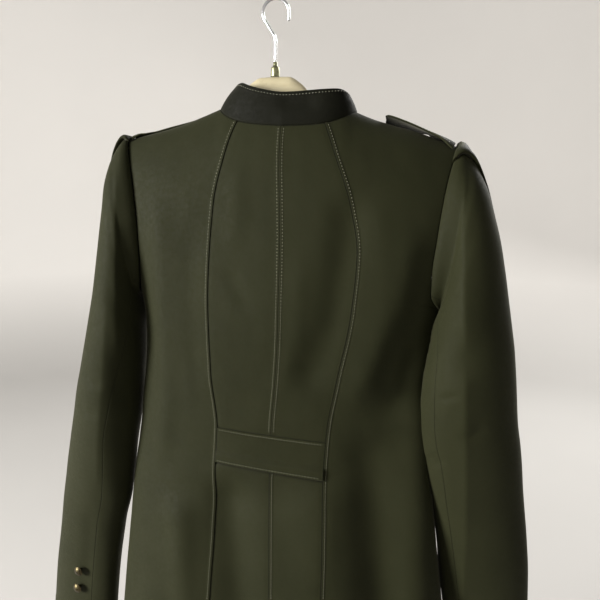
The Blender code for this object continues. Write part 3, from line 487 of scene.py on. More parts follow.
SLEEVE_CREASES = {
    "left": (
        (
            "sharp", 0.0060, 0.0022,
            (0.181, -0.180), (0.1789, -0.2257), (0.1782, -0.2834),
            (0.180, -0.3853), (0.184, -0.4329),
        ),
        (
            "sharp", 0.0100, 0.0018,
            (0.1879, -0.3400), (0.1946, -0.4035), (0.2033, -0.4619),
            (0.2129, -0.5232), (0.2216, -0.600),
        ),
        ("soft", 0.0100, -0.0012, (0.2285, -0.6092), (0.2425, -0.6868), (0.259, -0.765)),
        ("soft", 0.0080, -0.0014, (0.232, -0.430), (0.214, -0.446), (0.196, -0.452)),
        ("soft", 0.0070, -0.0012, (0.246, -0.476), (0.226, -0.488), (0.206, -0.490)),
    ),
    "right": (
        (
            "sharp", 0.0120, 0.0062,
            (-0.214, -0.175), (-0.2182, -0.2601), (-0.2205, -0.322), (-0.224, -0.3861),
        ),
        (
            "sharp", 0.0110, 0.0036,
            (-0.2235, -0.380), (-0.2286, -0.4549), (-0.2352, -0.5303),
            (-0.2413, -0.6123), (-0.2452, -0.720),
        ),
        ("soft", 0.0045, -0.0012, (-0.1978, -0.436), (-0.2111, -0.4302), (-0.2224, -0.4258)),
        ("soft", 0.0090, -0.0018, (-0.190, -0.5071), (-0.1991, -0.5132), (-0.2084, -0.5219)),
        ("soft", 0.0080, -0.0012, (-0.255, -0.462), (-0.236, -0.474), (-0.220, -0.474)),
    ),
}
COLLAR_CREASES = (
    ("soft", 0.0090, -0.0022, (-0.0046, -0.1148), (-0.0336, -0.1165), (-0.0616, -0.1136)),
)


def smoothstep(t):
    t = np.clip(t, 0.0, 1.0)
    return t * t * (3 - 2 * t)


def unit(vectors):
    return vectors / np.maximum(np.linalg.norm(vectors, axis=-1, keepdims=True), 1e-12)


def dot(a, b):
    return np.sum(a * b, axis=-1, keepdims=True)


def stacked(*parts):
    return np.stack(np.broadcast_arrays(*parts), axis=-1)


def hang(points):
    """Garment frame to the hung object."""
    x, y, z = points[..., 0], points[..., 1], points[..., 2]
    return stacked(x + SWAY.at("shift", z), y, z + TILT * x)


def ridge(x):
    """Height of the shoulder's ridge at a signed distance from the middle."""
    return np.where(x > 0, SHOULDER.at("left", abs(x)), SHOULDER.at("right", abs(x)))


def fold_rise(side, x, z):
    rise = 0.0
    for across, start, half_width, depth in BACK_FOLDS if side > 0 else FRONT_FOLDS:
        grown = smoothstep((start - z) / (start - HEM))
        place = across * (1 + 0.12 * grown)
        rise = rise + depth * grown * np.exp(-(((x - place) / half_width) ** 2))
    return rise


def depth_squared(side, x, z):
    """Square of the torso's depth at x and z, negative just outside the shoulder ridge."""
    ratio = np.minimum(abs(x) / BODY.at("half_width", z), 1.0)
    depth = BODY.at("back" if side > 0 else "front", z)
    fall = np.minimum((ridge(x) - z) / SHOULDER_ROUND, 1.0)
    return depth**2 * (1 - ratio**2) ** SIDE_POWER * (1 - (1 - fall) ** 2)


def added_depth(side, x, z):
    depth = np.sqrt(np.maximum(depth_squared(side, x, z), 0.0))
    return depth, fold_rise(side, x, z) * smoothstep(depth / 0.03)


def body_y(side, x, z):
    depth, added = added_depth(side, x, z)
    return side * (depth + added)


def body_normal(side, x, z):
    """Outward direction of the torso's surface."""
    y = body_y(side, x, z)
    step = 0.00002

    def field(px, pz):
        added = added_depth(side, px, pz)[1]
        return (abs(y) - added) ** 2 - depth_squared(side, px, pz)

    slope_x = (field(x + step, z) - field(x - step, z)) / (2 * step)
    slope_z = (field(x, z + step) - field(x, z - step)) / (2 * step)
    return unit(stacked(slope_x, 2 * y, slope_z))


def armhole_width(hand, side, z):
    """Distance of the armhole's edge from the middle at a height, on its back or its front."""
    return ARMHOLE.at(f"back_{hand}" if side > 0 else "front", z)


def angle_at(x, z):
    """The section angle at which the torso has this x: 0 at the middle, a right angle at the side."""
    return np.arcsin(np.clip(x / BODY.at("half_width", z), -1.0, 1.0))


def princess_x(face, sign, z):
    if face == "front":
        return PRINCESS.at("front", z)
    return PRINCESS.at("back_left" if sign > 0 else "back_right", z)


def waves(points, seed, size):
    """Soft unevenness of hung cloth: a few crossed waves, longer down the cloth than across it."""
    random = np.random.default_rng(seed)
    rise = np.zeros(points.shape[:-1])
    for length, share in ((0.150, 1.0), (0.085, 0.60), (0.046, 0.30), (0.022, 0.10)):
        for _ in range(3):
            way = unit(random.normal(size=3) * (1.0, 1.0, 0.4))
            start = random.uniform(0, math.tau)
            rise += share * np.sin(points @ way * (math.tau / length) + start)
    return size * rise / 3


def crease_rise(points, creases):
    """How far creases move the cloth at points that are hung already."""
    x, z = points[..., 0], points[..., 2]
    rise = np.zeros(x.shape)
    for shape, half_width, height, *places in creases:
        nearest = np.full(x.shape, 1e9)
        along = np.zeros(x.shape)
        walked = 0.0
        for (ax, az), (bx, bz) in zip(places, places[1:]):
            length = math.hypot(bx - ax, bz - az)
            share = ((x - ax) * (bx - ax) + (z - az) * (bz - az)) / length**2
            share = np.clip(share, 0.0, 1.0)
            away = np.hypot(x - ax - share * (bx - ax), z - az - share * (bz - az))
            closer = away < nearest
            nearest = np.where(closer, away, nearest)
            along = np.where(closer, walked + share * length, along)
            walked += length
        fade = min(CREASE_FADE, walked * 0.35)
        ends = smoothstep(along / fade) * smoothstep((walked - along) / fade)
        if shape == "sharp":
            across = np.exp(-(np.sqrt(nearest**2 + SHARP_ROUND**2) - SHARP_ROUND) / half_width)
        else:
            across = np.exp(-((nearest / half_width) ** 2))
        rise += height * across * ends
    return rise


# Kinds of edge: whether it is folded under, its lip, how proud it lies and up to what distance, its
# stitch rows, and the distances of the grid lines near it
Edge = namedtuple("Edge", "folded lip proud until stitches near")
PLAIN_NEAR = (0.0, 0.0015, 0.0024, 0.0044, 0.0070)
SHADED_NEAR = (0.0, 0.0012, 0.0022, 0.0034, 0.0050, 0.0080)
SEAM_NEAR = (0.0, 0.0017, 0.0023, 0.0029, 0.0035, 0.0044, 0.0062, 0.0090)
BELT_NEAR = (0.0, 0.0017, 0.0023, 0.0029, 0.0040, 0.0060)
FRONT_NEAR = (0.0, 0.0018, 0.0034, 0.0056, 0.0062, 0.0068, 0.0090)
HEM_NEAR = (0.0, 0.0018, 0.0040, 0.0080, 0.0160, 0.0234, 0.0240, 0.0246)
CUFF_NEAR = (0.0, 0.0018, 0.0040, 0.0080, 0.0120)
EDGES = {
    "plain": Edge(False, 0.0014, 0.0, 0.0, (), PLAIN_NEAR),
    "under": Edge(False, 0.0014, -0.0002, 0.0022, (), PLAIN_NEAR),
    "shaded": Edge(False, 0.0014, -0.0010, 0.0028, (), SHADED_NEAR),
    "open": Edge(False, 0.0014, 0.00030, 0.0029, (0.0029,), SEAM_NEAR),
    "raised": Edge(False, 0.0014, 0.00060, 0.0029, (0.0029,), SEAM_NEAR),
    "belt_top": Edge(True, 0.0050, 0.00040, 0.0026, (0.0023,), BELT_NEAR),
    "belt_low": Edge(True, 0.0050, 0.00260, 0.0120, (0.0023,), BELT_NEAR),
    "front": Edge(True, 0.0090, 0.00030, 0.0062, (0.0062,), FRONT_NEAR),
    "hem": Edge(True, 0.0120, 0.00035, 0.0240, (0.0240,), HEM_NEAR),
    "cuff": Edge(True, 0.0120, 0.00030, 0.0100, (), CUFF_NEAR),
}

# Painted shade: how dark the cloth is painted right by a seam, where shade falls in its groove and under
# the piece that overlaps it, and how far that reaches; the shaded kind is the painted shadow under the
# belt's lower edge
SEAM_SHADE = {
    "plain": (0.3, 0.0009),
    "under": (0.5, 0.0009),
    "shaded": (1.4, 0.0026),
    "open": (0.05, 0.0009),
    "raised": (0.2, 0.0009),
}


def edge_rise(kind, away, along):
    """Welt, stitch dimple and pucker of an edge, by the distance from it and along it."""
    rise = EDGES[kind].proud * (1 - smoothstep((away - EDGES[kind].until) / WELT_FADE))
    for row in EDGES[kind].stitches:
        rise -= STITCH_DIMPLE * np.exp(-(((away - row) / 0.0006) ** 2))
        pucker = np.sin(along * 610 + 2.1 * np.sin(along * 97)) * 0.6 + np.sin(along * 390 + 1.0) * 0.4
        rise += STITCH_PUCKER * pucker * np.exp(-((away - row) ** 2) / 0.006**2)
    return rise


def reach_along(points, axis):
    """Distances walked over a grid of points along one axis."""
    steps = np.linalg.norm(np.diff(points, axis=axis), axis=-1)
    start = np.zeros_like(np.take(steps, [0], axis=axis))
    return np.concatenate((start, np.cumsum(steps, axis=axis)), axis=axis)


def spaced(stops, near, pitch):
    """Distances of the columns between stops, each an array over the rows, closer by the stops."""
    columns = []
    for index, (low, high) in enumerate(zip(stops, stops[1:])):
        start, end = np.array(near[index][0]), np.array(near[index][1])
        width = high - low
        fit = np.minimum(1.0, width / (1.6 * (start[-1] + end[-1])))[:, None]
        a = low[:, None] + start[None, :] * fit
        b = high[:, None] - end[None, ::-1] * fit
        count = max(int(np.mean(b[:, 0] - a[:, -1]) / pitch), 2)
        share = np.linspace(0, 1, count + 1)[1:-1]
        middle = a[:, -1:] + (b[:, :1] - a[:, -1:]) * share[None, :]
        part = np.concatenate((a, middle, b), axis=1)
        columns.append(part if index == 0 else part[:, 1:])
    return np.concatenate(columns, axis=1)


def looked_up(places, known, values):
    """Row by row, the values at places, given them at known ones."""
    return np.stack([np.interp(p, k, v) for p, k, v in zip(places, known, values)])


def grid_normals(points, towards):
    """Directions square to a grid of points, on the side that the given ones point to."""
    normals = unit(np.cross(np.gradient(points, axis=0), np.gradient(points, axis=1)))
    return np.where(dot(normals, towards) < 0, -normals, normals)


class Cloth:
    """A grid of cloth: outer points, outward directions, flat places in metres, and an attribute that is
    positive on rubbed edges and negative where shade is painted.
    """

    def __init__(self, points, normals, flat, wear_and_shade):
        self.fields = [points, normals, flat, wear_and_shade[..., None]]

    def turned(self, edge):
        """The fields with the named edge as their first row."""
        fields = self.fields
        if edge in ("left", "right"):
            fields = [np.swapaxes(field, 0, 1) for field in fields]
        if edge in ("bottom", "right"):
            fields = [field[::-1] for field in fields]
        return fields

    def keep(self, edge, fields):
        if edge in ("bottom", "right"):
            fields = [field[::-1] for field in fields]
        if edge in ("left", "right"):
            fields = [np.swapaxes(field, 0, 1) for field in fields]
        self.fields = fields

    def turn_edge(self, edge, kind, radius):
        """Rounds an edge over and, where it is folded, carries it back underneath."""
        folded, lip = EDGES[kind].folded, EDGES[kind].lip
        points, normals, flat, wear_and_shade = self.turned(edge)
        normal = normals[0]
        out = points[0] - points[1]
        out = unit(out - normal * dot(out, normal))
        flat_out = unit(flat[0] - flat[1])
        base = points[0] - out * radius
        # A folded edge is lighter on its rolled top, for rubbing; a seam's rounded edge is darker down
        # into its groove, which is painted shade
        new = [[base], [normal], [flat[0] - flat_out * radius], [wear_and_shade[0] + (0.3 if folded else -0.2)]]
        angles = (30, 60, 90, 120, 150, 180) if folded else (35, 65, 90)
        for degrees in angles:
            angle = math.radians(degrees)
            across = out * math.sin(angle) + normal * math.cos(angle)
            new[0].append(base - normal * radius + across * radius)
            new[1].append(unit(out * math.sin(angle) + normal * abs(math.cos(angle))))
            new[2].append(flat[0] + flat_out * radius * (angle - 1))
            rubbed = 0.3 if degrees < 100 else 0.0
            new[3].append(wear_and_shade[0] + (rubbed if folded else -0.5))
        way = -out if folded else -normal
        for share in (0.4, 1.0):
            new[0].append(new[0][len(angles)] + way * lip * share)
            new[1].append(new[1][len(angles)])
            new[2].append(new[2][len(angles)] + flat_out * lip * share)
            # The lip is darker, as painted shade under a fold's roll and deep in a seam's groove
            new[3].append(wear_and_shade[0] - (0.1 if folded else 0.7))
        old = (points, normals, flat, wear_and_shade)
        fields = [np.concatenate((np.stack(added[::-1]), field[1:])) for added, field in zip(new, old)]
        self.keep(edge, fields)

    def mesh(self, name):
        points, normals, flat, wear_and_shade = self.fields
        number = np.arange(points.shape[0] * points.shape[1]).reshape(points.shape[:2])
        points, normals = points.reshape(-1, 3), normals.reshape(-1, 3)
        corners = facing(quads(number), points, normals)
        return mesh_of(name, points, corners, flat.reshape(-1, 2), wear_and_shade.reshape(-1))


def quads(number):
    """Corner numbers of the faces between a grid of vertices."""
    corners = np.stack((number[:-1, :-1], number[1:, :-1], number[1:, 1:], number[:-1, 1:]), axis=-1)
    return corners.reshape(-1, 4)


def facing(corners, points, normals):
    """The faces wound so that they look along the given directions."""
    a, b, c = (points[corners[:, k]] for k in (0, 1, 3))
    if np.sum(np.cross(b - a, c - a) * normals[corners[:, 0]]) < 0:
        return corners[:, ::-1]
    return corners


def mesh_of(name, points, corners, flat, wear_and_shade):
    mesh = bpy.data.meshes.new(name)
    mesh.vertices.add(len(points))
    mesh.vertices.foreach_set("co", points.reshape(-1).astype(np.float32))
    mesh.loops.add(len(corners) * 4)
    mesh.loops.foreach_set("vertex_index", corners.reshape(-1).astype(np.int32))
    mesh.polygons.add(len(corners))
    mesh.polygons.foreach_set("loop_start", np.arange(0, len(corners) * 4, 4, dtype=np.int32))
    mesh.polygons.foreach_set("loop_total", np.full(len(corners), 4, dtype=np.int32))
    layer = mesh.uv_layers.new(name="flat")
    layer.data.foreach_set("uv", flat[corners.reshape(-1)].reshape(-1).astype(np.float32))
    # The attribute is positive on rubbed edges, which the material lightens, and negative where the
    # material paints shade
    worn_and_shaded = mesh.attributes.new("wear_and_shade", "FLOAT", "POINT")
    worn_and_shaded.data.foreach_set("value", wear_and_shade.astype(np.float32))
    mesh.update(calc_edges=True)
    mesh.validate()
    mesh.shade_smooth()
    return mesh


# Lines that stitches run along, each with its points and outward directions
THREADS = []


def keep_stitch_lines(cloth, kinds):
    """Keeps the grid lines that stitches run along, before the edges are turned."""
    for edge, kind in kinds.items():
        for row in EDGES[kind].stitches:
            points, normals = cloth.turned(edge)[:2]
            line = EDGES[kind].near.index(row)
            THREADS.append((points[line], normals[line]))


def turn_edges(cloth, kinds):
    for edge, kind in kinds.items():
        cloth.turn_edge(edge, kind, FOLD_ROUND if EDGES[kind].folded else SEAM_ROUND)


def inside_edges(edges, u, v):
    """Places inside four edges, each a function of a share from 0 to 1."""
    left, right, top, bottom = edges
    u, v = u[..., None], v[..., None]
    start, end = np.array(0.0), np.array(1.0)
    sides = (1 - u) * left(v[..., 0]) + u * right(v[..., 0])
    ends = (1 - v) * top(u[..., 0]) + v * bottom(u[..., 0])
    high = (1 - u) * left(start) + u * right(start)
    low = (1 - u) * left(end) + u * right(end)
    return sides + ends - (1 - v) * high - v * low


def body_place(side, places):
    angle, z = places[..., 0], places[..., 1]
    x = BODY.at("half_width", z) * np.sin(angle)
    return x, z, stacked(x, body_y(side, x, z), z)


def body_cloth(side, edges, kinds, creases, pitch, lean):
    """Cloth over the torso inside four edges, with the relief of its own edges and creases."""
    share = np.linspace(0, 1, 400)
    heights = [reach_along(body_place(side, edge(share))[2][:, None], 0)[-1, 0] for edge in edges[:2]]
    height = sum(heights) / 2
    near = {edge: EDGES[kind].near for edge, kind in kinds.items()}
    rows = spaced([np.zeros(1), np.full(1, height)], [(near["top"], near["bottom"])], pitch)[0] / height

    u, v = np.meshgrid(np.linspace(0, 1, 81), rows)
    walked = reach_along(body_place(side, inside_edges(edges, u, v))[2], 1)
    width = walked[:, -1]
    across = spaced([np.zeros(len(rows)), width], [(near["left"], near["right"])], pitch)
    u = looked_up(across, walked, u)
    v = np.broadcast_to(rows[:, None], u.shape)
    x, z, points = body_place(side, inside_edges(edges, u, v))
    normals = body_normal(side, x, z)
    down = reach_along(points, 0)

    away = {"left": across, "right": width[:, None] - across, "top": down, "bottom": down[-1] - down}
    along = {"left": down, "right": down, "top": across, "bottom": across}
    rise = waves(points, 5, 0.0009)
    from_side = math.pi / 2 - abs(angle_at(x, z))
    rise += crease_rise(hang(points), creases) * smoothstep(from_side / 0.30)
    wear_and_shade = np.zeros(rise.shape)
    for edge, kind in kinds.items():
        rise += edge_rise(kind, away[edge], along[edge])
        # Painted shade: darker by each seam, where the pieces meet and overlap, and in each stitch row's
        # dimple
        shade, reach = SEAM_SHADE.get(kind, (0.0, 1.0))
        wear_and_shade -= shade * np.exp(-((away[edge] / reach) ** 2))
        for row in EDGES[kind].stitches:
            wear_and_shade -= 0.2 * np.exp(-(((away[edge] - row) / 0.0009) ** 2))
    if lean is not None:
        rise += lean(x)
    hung = hang(points + normals * rise[..., None])
    cloth = Cloth(hung, grid_normals(hung, normals), stacked(across, -down), wear_and_shade)
    keep_stitch_lines(cloth, kinds)
    turn_edges(cloth, kinds)
    return cloth


def seam_edge(face, sign, start, end):
    def edge(share):
        z = start + (end - start) * share
        return stacked(sign * angle_at(princess_x(face, sign, z), z), z)

    return edge


def middle_edge(start, end):
    return lambda share: stacked(0.0 * share, start + (end - start) * share)


def side_edge(face, sign, top):
    """The armhole, then the side seam, level with a seam that starts at the height top."""
    hand = "left" if sign > 0 else "right"
    side = 1 if face == "back" else -1
    tip = float(ridge(SHOULDER_HALF))
    turn = (top - UNDERARM) / (top - HEM)

    def edge(share):
        upper = tip + (UNDERARM - tip) * share / turn
        lower = UNDERARM + (HEM - UNDERARM) * (share - turn) / (1 - turn)
        z = np.where(share < turn, upper, lower)
        at_hole = angle_at(armhole_width(hand, side, z), z)
        return stacked(sign * np.where(share < turn, at_hole, math.pi / 2), z)

    return edge


def top_edge(face, sign, start, end):
    """The neckline and then the shoulder, between two distances from the middle."""
    neck = BACK_NECK if face == "back" else FRONT_NECK

    def edge(share):
        x = start + (end - start) * share
        z = np.where(abs(x) < NECK_HALF, neck.at("height", abs(x)), ridge(sign * abs(x)))
        return stacked(sign * angle_at(x, z), z)

    return edge


def straight_edge(start, end):
    start, end = np.array(start), np.array(end)
    return lambda share: start + (end - start) * np.asarray(share)[..., None]


def low_edge(first, second):
    """The straight edge between the low ends of two edges."""
    end = np.array(1.0)
    return straight_edge(first(end), second(end))


def belt_height(sign, which):
    """Height of the belt's edge where it meets the princess seam on one half."""
    middle, slope = {
        "top": (BELT_TOP, BELT_TOP_SLOPE),
        "bottom": (BELT_BOTTOM, BELT_BOTTOM_SLOPE),
    }[which]
    return float(middle + slope * sign * princess_x("back", sign, middle))


def belt_edge(sign, which):
    """The belt's edge from a princess seam to the middle back."""
    middle = BELT_TOP if which == "top" else BELT_BOTTOM
    z = belt_height(sign, which)
    return straight_edge((sign * float(angle_at(princess_x("back", sign, z), z)), z), (0.0, middle))


def add_panel(node, side, edges, kinds, material, pitch=0.0030, lean=None):
    """A panel of the torso, with the kinds of its left, right, top and bottom edges."""
    kinds = dict(zip(("left", "right", "top", "bottom"), kinds.split()))
    creases = BACK_CREASES if side > 0 else FRONT_CREASES
    add_cloth(node, body_cloth(side, edges, kinds, creases, pitch, lean), material)


def make_back(cloth):
    neck_side = float(BACK_NECK.at("height", 0.050))
    neck = float(BACK_NECK.at("height", 0.0))
    for hand, sign in SIGN.items():
        seam_x = float(princess_x("back", sign, neck_side))
        seam = seam_edge("back", sign, neck_side, HEM)
        side = side_edge("back", sign, neck_side)
        edges = (seam, side, top_edge("back", sign, seam_x, SHOULDER_HALF), low_edge(seam, side))
        add_panel(f"back_side_{hand}", 1, edges, "raised plain plain hem", cloth)

        seam = seam_edge("back", sign, neck_side, belt_height(sign, "top"))
        middle = middle_edge(neck, BELT_TOP)
        edges = (seam, middle, top_edge("back", sign, seam_x, 0.0), belt_edge(sign, "top"))
        add_panel(f"back_centre_{hand}", 1, edges, "under open plain under", cloth)

        seam = seam_edge("back", sign, belt_height(sign, "bottom"), HEM)
        middle = middle_edge(BELT_BOTTOM, HEM)
        edges = (seam, middle, belt_edge(sign, "bottom"), low_edge(seam, middle))
        middle_kind = {"left": "under", "right": "raised"}[hand]
        add_panel(f"back_skirt_{hand}", 1, edges, f"under {middle_kind} shaded hem", cloth)

    ends = []
    for sign in SIGN.values():
        ends.append(seam_edge("back", sign, belt_height(sign, "top"), belt_height(sign, "bottom")))
    edges = (*ends, whole_belt_edge("top"), whole_belt_edge("bottom"))
    add_panel("back_belt", 1, edges, "under under belt_top belt_low", cloth, 0.0026, lambda x: BELT_RISE)


def whole_belt_edge(which):
    left, right = belt_edge(1, which), belt_edge(-1, which)

    def edge(share):
        first = left(np.minimum(share * 2, 1.0))
        second = right(np.minimum((1 - share) * 2, 1.0))
        return np.where(np.asarray(share)[..., None] < 0.5, first, second)

    return edge


def make_front(cloth):
    near_x = float(PRINCESS.at("front", -0.135))
    for hand, sign in SIGN.items():
        seam_x = float(princess_x("front", sign, float(ridge(sign * near_x))))
        seam_top = float(ridge(sign * seam_x))
        seam = seam_edge("front", sign, seam_top, HEM)
        side = side_edge("front", sign, seam_top)
        edges = (seam, side, top_edge("front", sign, seam_x, SHOULDER_HALF), low_edge(seam, side))
        add_panel(f"front_side_{hand}", -1, edges, "raised plain plain hem", cloth)

        neck = float(FRONT_NECK.at("height", FRONT_OVERLAP))

        def opening(share, sign=sign, neck=neck):
            z = neck + (HEM - neck) * share
            return stacked(-sign * angle_at(FRONT_OVERLAP, z), z)

        step = FRONT_STEP if hand == "right" else -FRONT_STEP

        def overlap(x, sign=sign, step=step):
            return step * smoothstep((0.045 - sign * x) / 0.025)

        edges = (seam, opening, top_edge("front", sign, seam_x, -FRONT_OVERLAP), low_edge(seam, opening))
        add_panel(f"front_{hand}", -1, edges, "under front plain hem", cloth, lean=overlap)


def closed_plate(name, middle, normals, half, round_width, away, flat, rise=0.0, wear_and_shade=None):
    """A closed flat piece of cloth, rounded at all its edges, over a grid along its middle."""
    inward = np.clip(away / round_width, 0.0, 1.0)
    thick = half * np.sqrt(1 - (1 - inward) ** 2)
    top = middle + normals * (thick + rise)[..., None]
    low = middle - normals * thick[..., None]
    rows, columns = away.shape
    over = np.arange(rows * columns).reshape(rows, columns)
    under = over.copy()
    inside = np.arange((rows - 2) * (columns - 2))
    under[1:-1, 1:-1] = rows * columns + inside.reshape(rows - 2, columns - 2)
    points = np.concatenate((top.reshape(-1, 3), low[1:-1, 1:-1].reshape(-1, 3)))
    ways = np.concatenate((normals.reshape(-1, 3), -normals[1:-1, 1:-1].reshape(-1, 3)))
    places = np.concatenate((flat.reshape(-1, 2), flat[1:-1, 1:-1].reshape(-1, 2)))
    rubbed = 0.5 * np.exp(-((away / (1.5 * round_width)) ** 2))
    above, below = (rubbed, rubbed) if wear_and_shade is None else wear_and_shade
    worn_and_shaded = np.concatenate((above.reshape(-1), below[1:-1, 1:-1].reshape(-1)))
    first = facing(quads(over), points, ways)
    second = quads(under)
    if np.array_equal(first[0], quads(over)[0]):
        second = second[:, ::-1]
    return mesh_of(name, points, np.concatenate((first, second)), places, worn_and_shaded)


def neckline(degrees):
    """Point and outward direction on the neckline at an angle round the neck."""
    angle = np.radians(degrees)
    x = NECK_HALF * np.sin(angle)
    found = []
    for side, table in ((1, BACK_NECK), (-1, FRONT_NECK)):
        z = table.at("height", abs(x))
        found.append((stacked(x, body_y(side, x, z), z), body_normal(side, x, z)))
    behind = (abs(degrees) <= 90)[..., None]
    return np.where(behind, found[0][0], found[1][0]), np.where(behind, found[0][1], found[1][1])


def make_collar(cloth):
    degrees = np.linspace(-COLLAR_END_ANGLE, COLLAR_END_ANGLE, 1200)
    walked = reach_along(neckline(degrees)[0][None], 1)[0]
    near = (0.0, 0.0002, 0.0006, 0.0011, 0.0016, 0.0030)
    place = spaced([np.zeros(1), walked[-1:]], [(near, near)], 0.0026)[0]
    degrees = np.interp(place, walked, degrees)
    base, normal = neckline(degrees)
    before, after = neckline(degrees - 0.5)[0], neckline(degrees + 0.5)[0]
    up = unit(np.cross(normal, after - before))
    up = np.where(up[..., 2:] < 0, -up, up)
    base = base + up * SEAM_GAP
    top = stacked(*(COLLAR_TOP.at(name, degrees) for name in ("x", "y", "z")))
    out = unit(np.cross(after - before, top - base))
    out = np.where(dot(out, normal) < 0, -out, out)
    height = np.linalg.norm(top - base, axis=-1)
    by_top = (*near, COLLAR_STITCH, 0.0050, 0.0070)
    rows = spaced([np.zeros(1), np.full(1, COLLAR_HEIGHT)], [(near, by_top)], 0.0026)[0] / COLLAR_HEIGHT
    share = rows[:, None, None]
    surface = base + (top - base) * share + out * 0.0018 * np.sin(math.pi * share)
    lean = smoothstep(share / 0.5)
    way = unit(normal * (1 - lean) + out * lean)
    hung = hang(surface)
    down = height * (1 - rows[:, None])
    away = np.minimum(np.minimum(down, height * rows[:, None]), np.minimum(place, place[-1] - place))
    rise = waves(surface, 5, 0.0006) + crease_rise(hung, COLLAR_CREASES) * (way[..., 1] > 0)
    rise += 0.00035 * (1 - smoothstep((down - 0.0050) / 0.0020))
    rise -= 0.0003 * np.exp(-(((down - COLLAR_STITCH) / 0.0007) ** 2))
    rise *= smoothstep(away / 0.003)
    middle = hung - way * COLLAR_WALL / 2
    flat = stacked(place + 0 * down, -down)
    mesh = closed_plate("cloth_collar", middle, way, COLLAR_WALL / 2, 0.0015, away, flat, rise)
    row = int(np.argmin(abs(down[:, 0] / height[0] * COLLAR_HEIGHT - COLLAR_STITCH)))
    surface = middle + way * (COLLAR_WALL / 2 + rise[..., None])
    THREADS.append((surface[row, 8:-8], way[row, 8:-8]))
    declare(add_piece(mesh, cloth, ["collar"]), "collar")


def armhole_height(turn):
    tip = float(ridge(SHOULDER_HALF))
    return tip + (UNDERARM - tip) * (1 - np.cos(turn)) / 2


def armhole(hand, turn):
    """Point, outward direction and direction away from the torso, at a turn round the armhole.

    They are given for the left side's sign of x.
    """
    sign = SIGN[hand]

    def place(at):
        z = armhole_height(at)
        found = []
        for side in (1, -1):
            x = armhole_width(hand, side, z)
            found.append((x, z, body_y(side, sign * x, z)))
        behind = np.sin(at) >= 0
        x, z, y = (np.where(behind, a, b) for a, b in zip(*found))
        return x, y, z

    x, y, z = place(turn)
    point = stacked(x, y, z)
    behind = (np.sin(turn) >= 0)[..., None]
    normal = np.where(behind, body_normal(1, sign * x, z), body_normal(-1, sign * x, z))
    normal = normal * (sign, 1, 1)
    along = stacked(*place(turn + 0.02)) - stacked(*place(turn - 0.02))
    away = unit(np.cross(normal, along))
    middle = np.array((ARMHOLE_MIDDLE, 0.0, (UNDERARM + float(ridge(SHOULDER_HALF))) / 2))
    away = np.where(dot(away, middle - point) < 0, -away, away)
    return point, normal, away


def sleeve_ends(hand, row):
    """The top or outer point of a sleeve's ring, and its under or inner one."""
    y = SLEEVE.at("middle_y", row)
    top_x, under_x = SLEEVE.at("top_x", row), SLEEVE.at("under_x", row)
    if hand == "left":
        top_x = top_x + LEFT_SLEEVE.at("outer", row)
        under_x = under_x + LEFT_SLEEVE.at("inner", row)
        y = y + LEFT_SLEEVE.at("forward", row)
    else:
        under_x = under_x + RIGHT_SLEEVE.at("inner", row)
    return stacked(top_x, y, SLEEVE.at("top_z", row)), stacked(under_x, y, SLEEVE.at("under_z", row))


def sleeve_ring(hand, turn, row):
    top, under = sleeve_ends(hand, row)
    depth = np.where(np.sin(turn) > 0, SLEEVE.at("back", row), SLEEVE.at("front", row))
    point = (top + under) / 2 + (top - under) / 2 * np.cos(turn)[..., None]
    point[..., 1] += depth * np.sin(turn)
    return point


def body_reach(hand, y, z):
    """How far out the torso's cloth comes at a depth and a height, or 0 where it has none there."""
    reach = np.zeros(y.shape)
    for side in (1, -1):
        depth = BODY.at("back" if side > 0 else "front", z)
        inside = (abs(y) < depth) & (z <= float(ridge(SHOULDER_HALF))) & ((y > 0) == (side > 0))
        part = np.clip(1 - (abs(y) / depth) ** (2 / SIDE_POWER), 0.0, 1.0)
        found = BODY.at("half_width", z) * np.sqrt(part)
        inside &= (z <= UNDERARM) | (found <= armhole_width(hand, side, z))
        reach = np.where(inside, found, reach)
    return reach


def sleeve_point(hand, turn, row):
    """A point of the sleeve's outside without its pleats, for the left side's sign of x."""
    turn, row = np.broadcast_arrays(turn, row)
    point = sleeve_ring(hand, turn, row)
    share = (1 - smoothstep(row / ARMHOLE_FADE_ROWS))[..., None]
    hole, normal, away = armhole(hand, turn)
    point = point + (hole - sleeve_ring(hand, turn, 0.0 * row)) * share
    turned = abs((turn + math.pi) % math.tau - math.pi)
    under = smoothstep((turned - math.radians(110)) / math.radians(55))[..., None]
    gap = unit(away * (1 - under) + normal * under)
    point = point + gap * SEAM_GAP * (1 - smoothstep(row))[..., None]
    top, below = sleeve_ends(hand, row)
    middle = (top + below) / 2
    twist = SLEEVE_TWIST[hand] * smoothstep((row - 8) / 5)
    away = point - middle
    x = middle[..., 0] + away[..., 0] * np.cos(twist) + away[..., 1] * np.sin(twist)
    y = middle[..., 1] - away[..., 0] * np.sin(twist) + away[..., 1] * np.cos(twist)
    z = point[..., 2]
    x = np.maximum(x, body_reach(hand, y, z) + SLEEVE_CLEARANCE * smoothstep(row / 2))
    return stacked(x, y, z)


def sleeve_frame(hand, turn, row):
    """Point, outward direction and direction of the turn on a sleeve without its pleats."""
    turn, row = np.broadcast_arrays(turn, row)
    point = sleeve_point(hand, turn, row)
    low, high = np.maximum(row - 0.05, 0.0), np.minimum(row + 0.05, SLEEVE_ROWS)
    down = sleeve_point(hand, turn, high) - sleeve_point(hand, turn, low)
    round_it = sleeve_point(hand, turn + 0.03, row) - sleeve_point(hand, turn - 0.03, row)
    out = unit(np.cross(down, round_it))
    quarter = turn * 0 + math.pi / 2
    middle = (sleeve_point(hand, quarter, row) + sleeve_point(hand, -quarter, row)) / 2
    out = np.where(dot(out, point - middle) < 0, -out, out)
    return point, out, unit(round_it)


